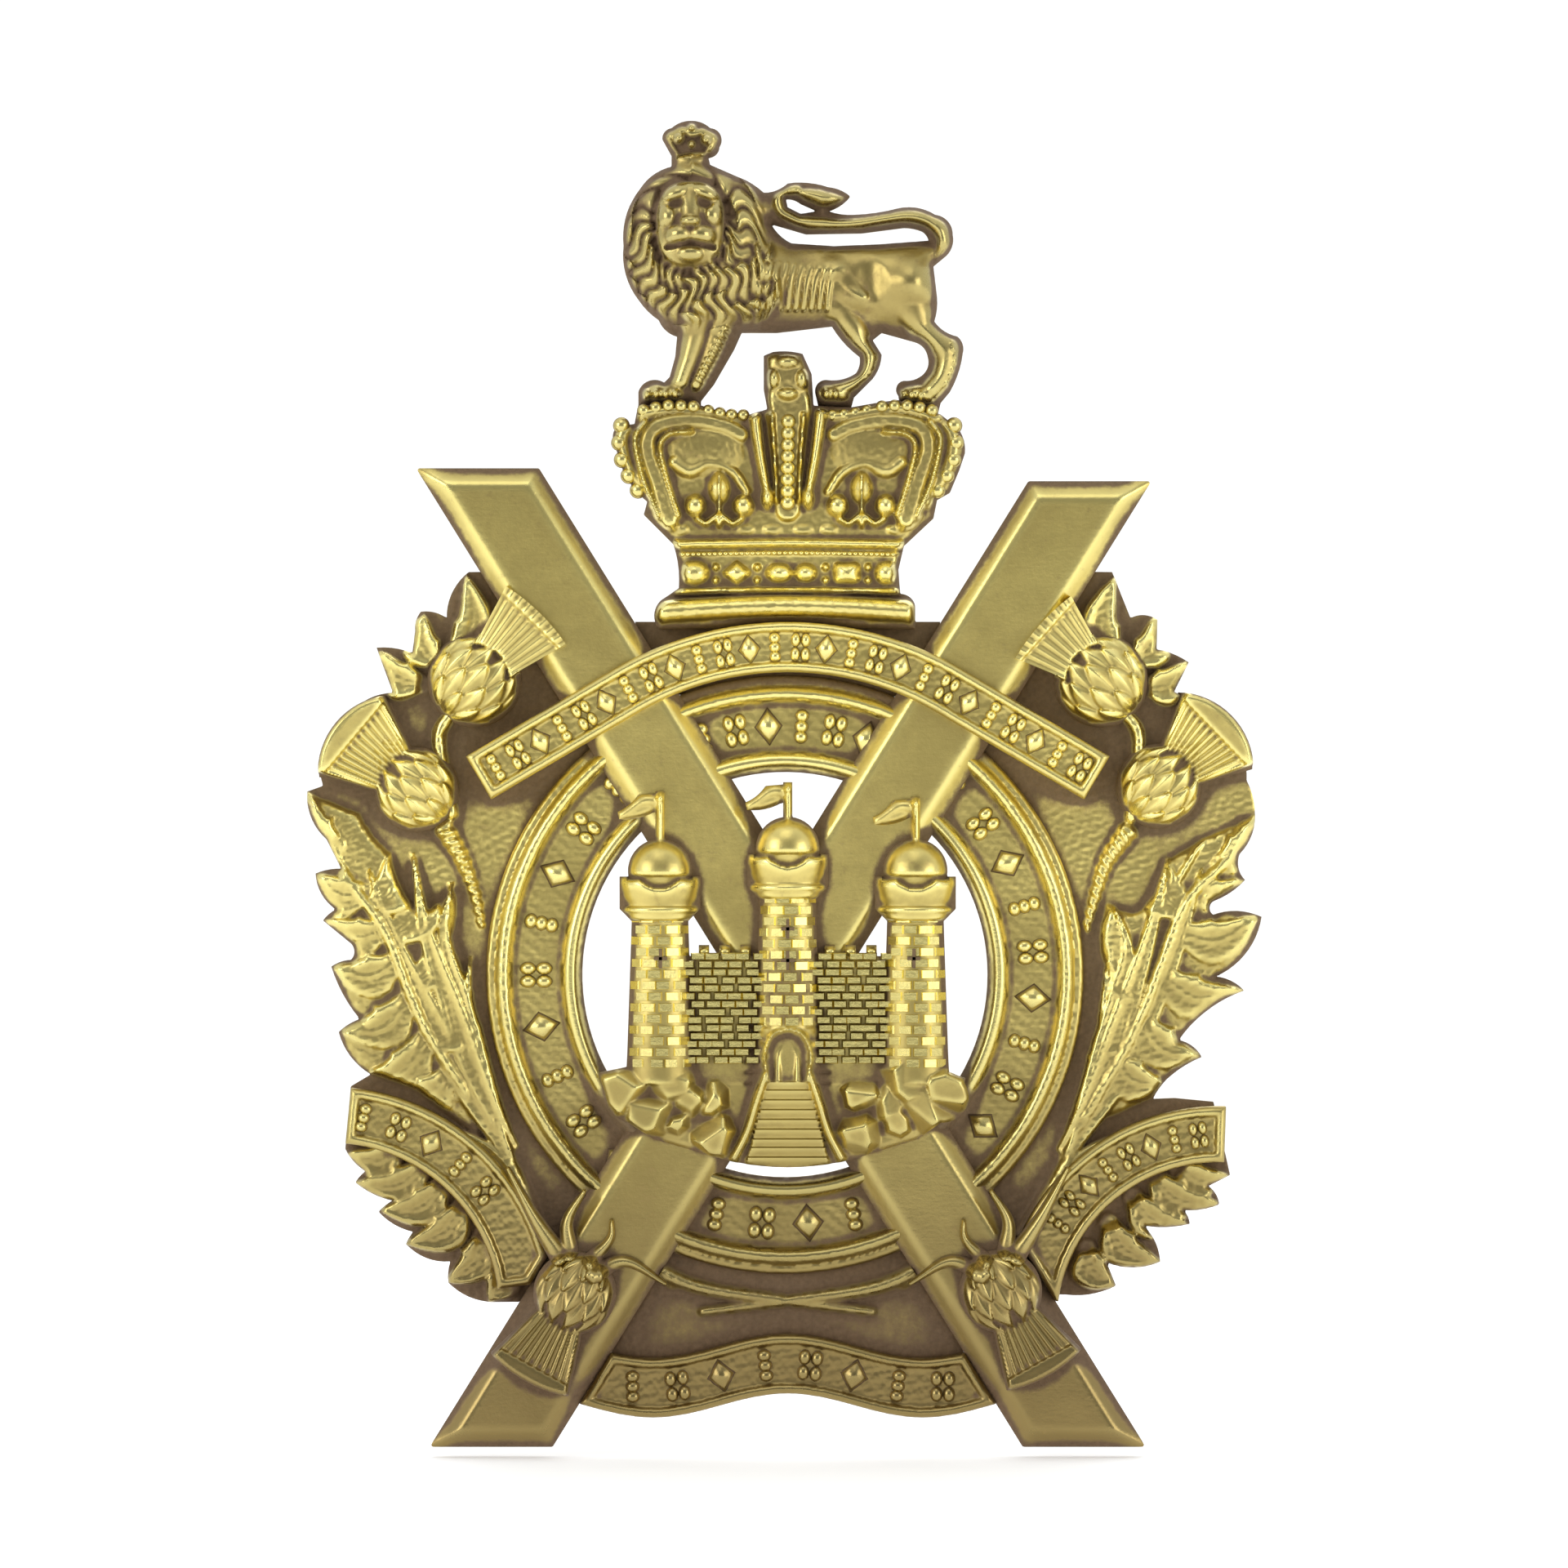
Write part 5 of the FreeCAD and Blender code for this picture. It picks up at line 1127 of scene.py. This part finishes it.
def repeated(cx, cz, inner, outer):
    """Ornaments on the circlet and scrolls, pearls on the crown and masonry on the castle."""
    middle = (inner + outer) / 2 - 0.1
    arch, tail, lean = 17.3, 8.1, math.radians(30.5)      # of the upper scroll, whose tails run straight
    end_x = arch * math.sin(lean) + tail * math.cos(lean)
    end_z = 0.1 + arch * math.cos(lean) - tail * math.sin(lean)
    wave = [(x, -22.05 + 0.65 * math.cos(2 * math.pi * x / 14.6)) for x in np.linspace(-8.4, 8.4, 40)]
    ornaments, floor = ornament_tree(), RING_FLOOR - 0.1
    for name, points, count, high, wide, seat in (
        ("circlet_ornaments_left", arc_points((cx, cz), middle, 132, 228), 9, 1.7, 1.35, floor),
        ("circlet_ornaments_right", arc_points((cx, cz), middle, 48, -48), 10, 1.65, 1.3, floor),
        ("circlet_ornaments_top", arc_points((cx, cz), middle, 109, 71), 6, 1.7, 1.25, floor),
        ("circlet_ornaments_bottom", arc_points((cx, cz), middle, -106, -74), 4, 1.7, 1.4, floor),
        ("left_scroll_ornaments", arc_points((-24.8, -18.6), 10.7, 80, 38), 5, 1.45, 1.2, 2.1),
        ("right_scroll_ornaments", arc_points((23.3, -19.2), 10.25, 148, 96), 8, 1.4, 1.0, 2.1),
        ("bottom_scroll_ornaments", wave, 8, 1.6, 1.3, 1.6),
        ("top_scroll_ornaments", [(-end_x, end_z), *arc_points((0, 0.1), arch, 120.5, 59.5), (end_x, end_z)],
         26, 1.45, 1.05, SCROLL_FACE - 0.1),
    ):
        values = {"Count": count, "Height": high, "Width": wide, "Depth": 1.5}
        grown(name, line_mesh(points), ornaments, values, (0, 0, seat), 0.4)
    pearls, rows = pearl_tree(), []
    for s in (-1, 1):
        rows += [([(s * x, z) for x, z in points], *row) for points, *row in (
            ([(9.0, 29.4), (9.1, 28.3), (8.8, 27.1), (8.1, 25.9)], 5, 0.46, 1.75),
            ([(7.8, 30.2), (6.5, 30.45), (5.1, 30.4)], 5, 0.36, 1.95),
            ([(4.3, 30.2), (3.3, 30.0), (2.4, 29.95)], 4, 0.34, 1.75),
        )]
    rows.append(([(0.03, 29.6), (0, 27.4), (0, 25.2)], 8, 0.42, 2.25))
    rows.append(([(-5.7, 22.42), (0, 22.5), (5.7, 22.42)], 40, 0.13, 2.05))
    for k, (points, count, radius, depth) in enumerate(rows):
        values = {"Count": count, "Radius": radius, "Depth": radius * 1.1}
        grown(f"crown_pearls_{k}", line_mesh(smooth_line(points)), pearls, values, (0, 0, depth), radius)
    blocks, start = block_tree(), [(0, 0), (0, 1)]
    for k, (x, foot, top, _) in enumerate(TOWERS):
        low, rise = -2.9 if x == 0 else foot + 1.2, 0.6
        wide = TOWER_R[0] - 0.08 + (TOWER_R[1] - TOWER_R[0]) * (low - foot) / (top - foot)
        values = {"Courses": int((top + 0.25 - low) / rise) + 1, "Blocks": 7, "Block_Pitch": 0.86,
                  "Course_Height": rise, "Foot_Radius": wide, "Top_Radius": TOWER_R[1] - 0.05,
                  "Bend_Radius": (wide + TOWER_R[1]) / 2, "Thickness": 0.24, "Seed": 3 + k}
        grown(f"tower_blocks_{k}", line_mesh(start), blocks, values,
              (x, (low + top + 0.1) / 2, FACE + 0.92 * wide + 0.04))
    flat = 400.0                          # a radius so great that the walls' courses are level
    for k, x in enumerate((-3.45, 3.45)):
        values = {"Courses": 14, "Blocks": 5, "Block_Pitch": 0.84, "Course_Height": 0.43, "Foot_Radius": flat,
                  "Top_Radius": flat, "Bend_Radius": flat, "Thickness": 0.18, "Seed": 9 + k}
        grown(f"wall_blocks_{k}", line_mesh(start), blocks, values, (x, -2.1, FACE + 0.8))


def slits():
    """Cross slits in the towers' fronts, as solid boxes coloured dark all over: painted shade of recessed
    slits and the dirt in them.
    """
    square = ((-1, -1), (1, -1), (1, 1), (-1, 1))
    corners, faces = [], []
    for x, z, front in ((0, 2.2, 1.58), (0, 0.5, 1.66), (-6.85, 0.6, 1.62), (6.8, 0.6, 1.62)):
        for wide, tall in ((0.09, 0.52), (0.36, 0.09)):
            first = len(corners)
            for depth in (FACE + 0.4, FACE + front + 0.16):
                corners += [row_point(x + a * wide, z + b * tall, depth) for a, b in square]
            for quad in ((3, 2, 1, 0), (4, 5, 6, 7), (0, 1, 5, 4), (1, 2, 6, 5), (2, 3, 7, 6), (3, 0, 4, 7)):
                faces.append([first + k for k in quad])
    mesh = bpy.data.meshes.new("tower_slits")
    mesh.from_pydata(corners, [], faces)
    # painted shade: the slits are coloured fully dark
    dress(mesh, np.ones(len(corners)), np.zeros(len(corners)))
    place("tower_slits", mesh)


# ---------------------------------------------------------------- materials
class Shade(Nodes):
    """A material's nodes round its surface."""

    def __init__(self, name):
        self.material = bpy.data.materials.new(name)
        self.material.use_nodes = True
        super().__init__(self.material.node_tree)
        self.here = self.node("ShaderNodeTexCoord", out=3)     # in the object's own coordinates

    def set(self, **values):
        """Puts numbers and links on the surface's own sockets."""
        for key, value in values.items():
            self.put(self.tree.nodes["Principled BSDF"].inputs[key.replace("_", " ")], value)
        return self.material

    def mix(self, share, a, b):
        made = self.node("ShaderNodeMix", {"data_type": "RGBA"}, share, out=2)
        for key, value in ((6, a), (7, b)):
            self.put(made.socket.node.inputs[key], value)
        return made

    def noise(self, where, scale, detail=3.0, rough=0.55):
        return self.node("ShaderNodeTexNoise", {}, Vector=where, Scale=scale, Detail=detail, Roughness=rough)

    def between(self, value, low, high):
        smooth = {"interpolation_type": "SMOOTHSTEP"}
        return self.node("ShaderNodeMapRange", smooth, value, low, high, 0.0, 1.0)

    def bump(self, strength, distance, height):
        return self.node("ShaderNodeBump", {}, Strength=strength, Distance=distance, Height=height)


def brass_material():
    """Old gilding metal: brown grime and painted shade in the hollows, khaki tarnish, painted shade towards
    the bottom and the top, and yellow metal where it is rubbed.
    """
    s = Shade("old_struck_brass")
    dirt, worn = (s.node("ShaderNodeAttribute", {"attribute_name": key}, out=2) for key in ("dirt", "worn"))
    cloud = s.noise(s.here, 160.0, 4.0)
    fleck = s.noise(s.here, 1500.0, 5.0, 0.65)
    fine = s.noise(s.here, 4200.0, 3.0, 0.6)
    brushed = s.noise(s.node("ShaderNodeMapping", {}, s.here, Scale=(1.0, 1.0, 6.0)), 900.0, 2.0, 0.5)
    tarnish = s.between(cloud + 0.35 * fleck - 0.5 * worn, 0.42, 0.85)
    metal = s.mix(tarnish, (0.76, 0.62, 0.20), (0.50, 0.40, 0.13))
    metal = s.mix((worn * 0.85).clamped(), metal, (0.97, 0.86, 0.32))
    # painted shade: the metal darkens to brown towards the bottom of the badge, as if lit from above, and
    # towards its top
    height = s.split(s.here, 2)
    low = 1.0 - s.between(height + 0.008 * (cloud - 0.5), -0.037, -0.005)
    high = s.between(height, 0.008, 0.024)
    metal = s.mix((low * 0.9 + high * 0.6).clamped(), metal, (0.26, 0.185, 0.075))
    speck = s.between(fleck, 0.60, 0.72)
    metal = s.mix(speck * 0.35, metal, (0.42, 0.30, 0.12))
    # brown of the grime and of the painted shade in the hollows
    grime_and_shade = s.between(dirt + 0.5 * (fleck - 0.5) + 0.3 * (fine - 0.5), 0.28, 0.85)
    soil_and_shade = s.mix(fine, (0.075, 0.042, 0.022), (0.22, 0.135, 0.075))
    return s.set(
        Base_Color=s.mix(grime_and_shade * 0.92, metal, soil_and_shade), Metallic=1.0 - grime_and_shade * 0.85,
        Roughness=(0.30 + 0.10 * tarnish + 0.06 * fine + 0.42 * grime_and_shade - 0.08 * worn).clamped(),
        Normal=s.bump(0.35, 0.00005, 0.5 * fine + 0.35 * fleck + 0.25 * brushed + 0.8 * grime_and_shade * fine))


def plain_metal(name, colour, stain, rough, scale):
    """Drawn wire or solder with a soft stain over it."""
    s = Shade(name)
    fine = s.noise(s.here, scale * 9, 3.0)
    share = s.between(s.noise(s.here, scale, 4.0) + 0.2 * fine, 0.45, 0.8)
    return s.set(Base_Color=s.mix(share, colour, stain), Metallic=1.0, Normal=s.bump(0.3, 0.00004, fine),
                 Roughness=(rough + 0.2 * share + 0.08 * fine).clamped())


# ---------------------------------------------------------------- camera, light and floor
VIEW_WIDE = 85.2             # millimetres of the badge's plane that the frame holds
VIEW_AT = (-0.2, 10.0)
VIEW_FROM = 460.0


def studio():
    scene = bpy.context.scene
    camera = bpy.data.cameras.new("camera")
    camera.sensor_width = 36.0
    camera.lens = camera.sensor_width * VIEW_FROM / VIEW_WIDE
    camera.clip_start, camera.clip_end = 0.01, 10.0
    scene.camera = add("camera", camera)
    scene.camera.location = row_point(*VIEW_AT, VIEW_FROM)
    scene.camera.rotation_euler = (math.pi / 2, 0, 0)
    middle = Vector(row_point(*VIEW_AT, 0))
    for name, where, size, power in (
        ("left_light", (-0.34, -0.26, 0.12), 0.24, 0.52), ("right_light", (0.34, -0.24, 0.06), 0.22, 0.36),
        ("top_light", (-0.04, -0.20, 0.36), 0.24, 0.16), ("back_light", (0.1, 0.45, 0.3), 0.4, 0.5),
    ):
        lamp = bpy.data.lights.new(name, "AREA")
        lamp.size, lamp.energy, lamp.color = size, power, (1.0, 0.985, 0.95)
        holder = add(name, lamp)
        holder.location = middle + Vector(where)
        holder.rotation_mode = "QUATERNION"
        holder.rotation_quaternion = (middle - holder.location).to_track_quat("-Z", "Y")
    scene.world = bpy.data.worlds.new("studio")
    scene.world.use_nodes = True
    w = Nodes(scene.world.node_tree)
    w.tree.nodes.remove(w.tree.nodes["Background"])
    way = w.node("ShaderNodeTexCoord")
    behind = w.node("ShaderNodeMapRange", {}, w.split(way, 1), -0.95, 0.0, 0.27, 0.85)
    fill = w.node("ShaderNodeBackground", {}, (0.93, 0.95, 1.0), w.split(way, 2) * 0.16 + behind)
    white = w.node("ShaderNodeBackground", {}, (1, 1, 1), 1.1)
    seen = w.node("ShaderNodeLightPath")
    blend = w.node("ShaderNodeMixShader", {}, seen, fill, white)
    w.put(w.tree.nodes["World Output"].inputs["Surface"], blend)
    scene.view_settings.view_transform = "Standard"
    floor, sides, wide = bpy.data.meshes.new("floor"), 64, 0.35
    turns = [2 * math.pi * k / sides for k in range(sides)]
    level = CAD_LOW.z - 0.0006
    rim = [(wide * math.cos(t), wide * math.sin(t), level) for t in turns]
    floor.from_pydata(rim, [], [list(range(sides))])
    floor.materials.append(Shade("pale_floor").set(
        Base_Color=(0.95, 0.95, 0.94), Roughness=0.7, Emission_Color=(1.0, 1.0, 1.0), Emission_Strength=0.3))
    add("floor", floor)


# ---------------------------------------------------------------- making
studio()
BRASS = brass_material()
spray("left", LEFT_LEAF)
spray("right", RIGHT_LEAF)
bottom_web()
ring = circlet()
saltire()
scroll("bottom_scroll", 1.7, 0.0)
scroll("left_scroll", 2.2, WEB)
scroll("right_scroll", 2.2, WEB)
thistles()
sprigs()
scroll("top_scroll", SCROLL_FACE, WEB)
crown()
lion()
castle()
finish_reliefs()
repeated(*ring)
slits()

wire = plain_metal("loop_wire", (0.72, 0.55, 0.27), (0.36, 0.25, 0.12), 0.34, 500.0)
pin_brass = plain_metal("pin_wire", (0.85, 0.68, 0.34), (0.55, 0.41, 0.19), 0.28, 400.0)
solder = plain_metal("old_solder", (0.46, 0.45, 0.43), (0.22, 0.21, 0.19), 0.45, 900.0)
for node, material, slot in (
    ("left_loop", wire, "loop_wire"), ("right_loop", wire, "loop_wire"), ("left_solder", solder, "solder"),
    ("right_solder", solder, "solder"), ("split_pin", pin_brass, "pin_brass"),
):
    piece = frame["nodes"][node]
    piece.data.materials.clear()
    piece.data.materials.append(material)
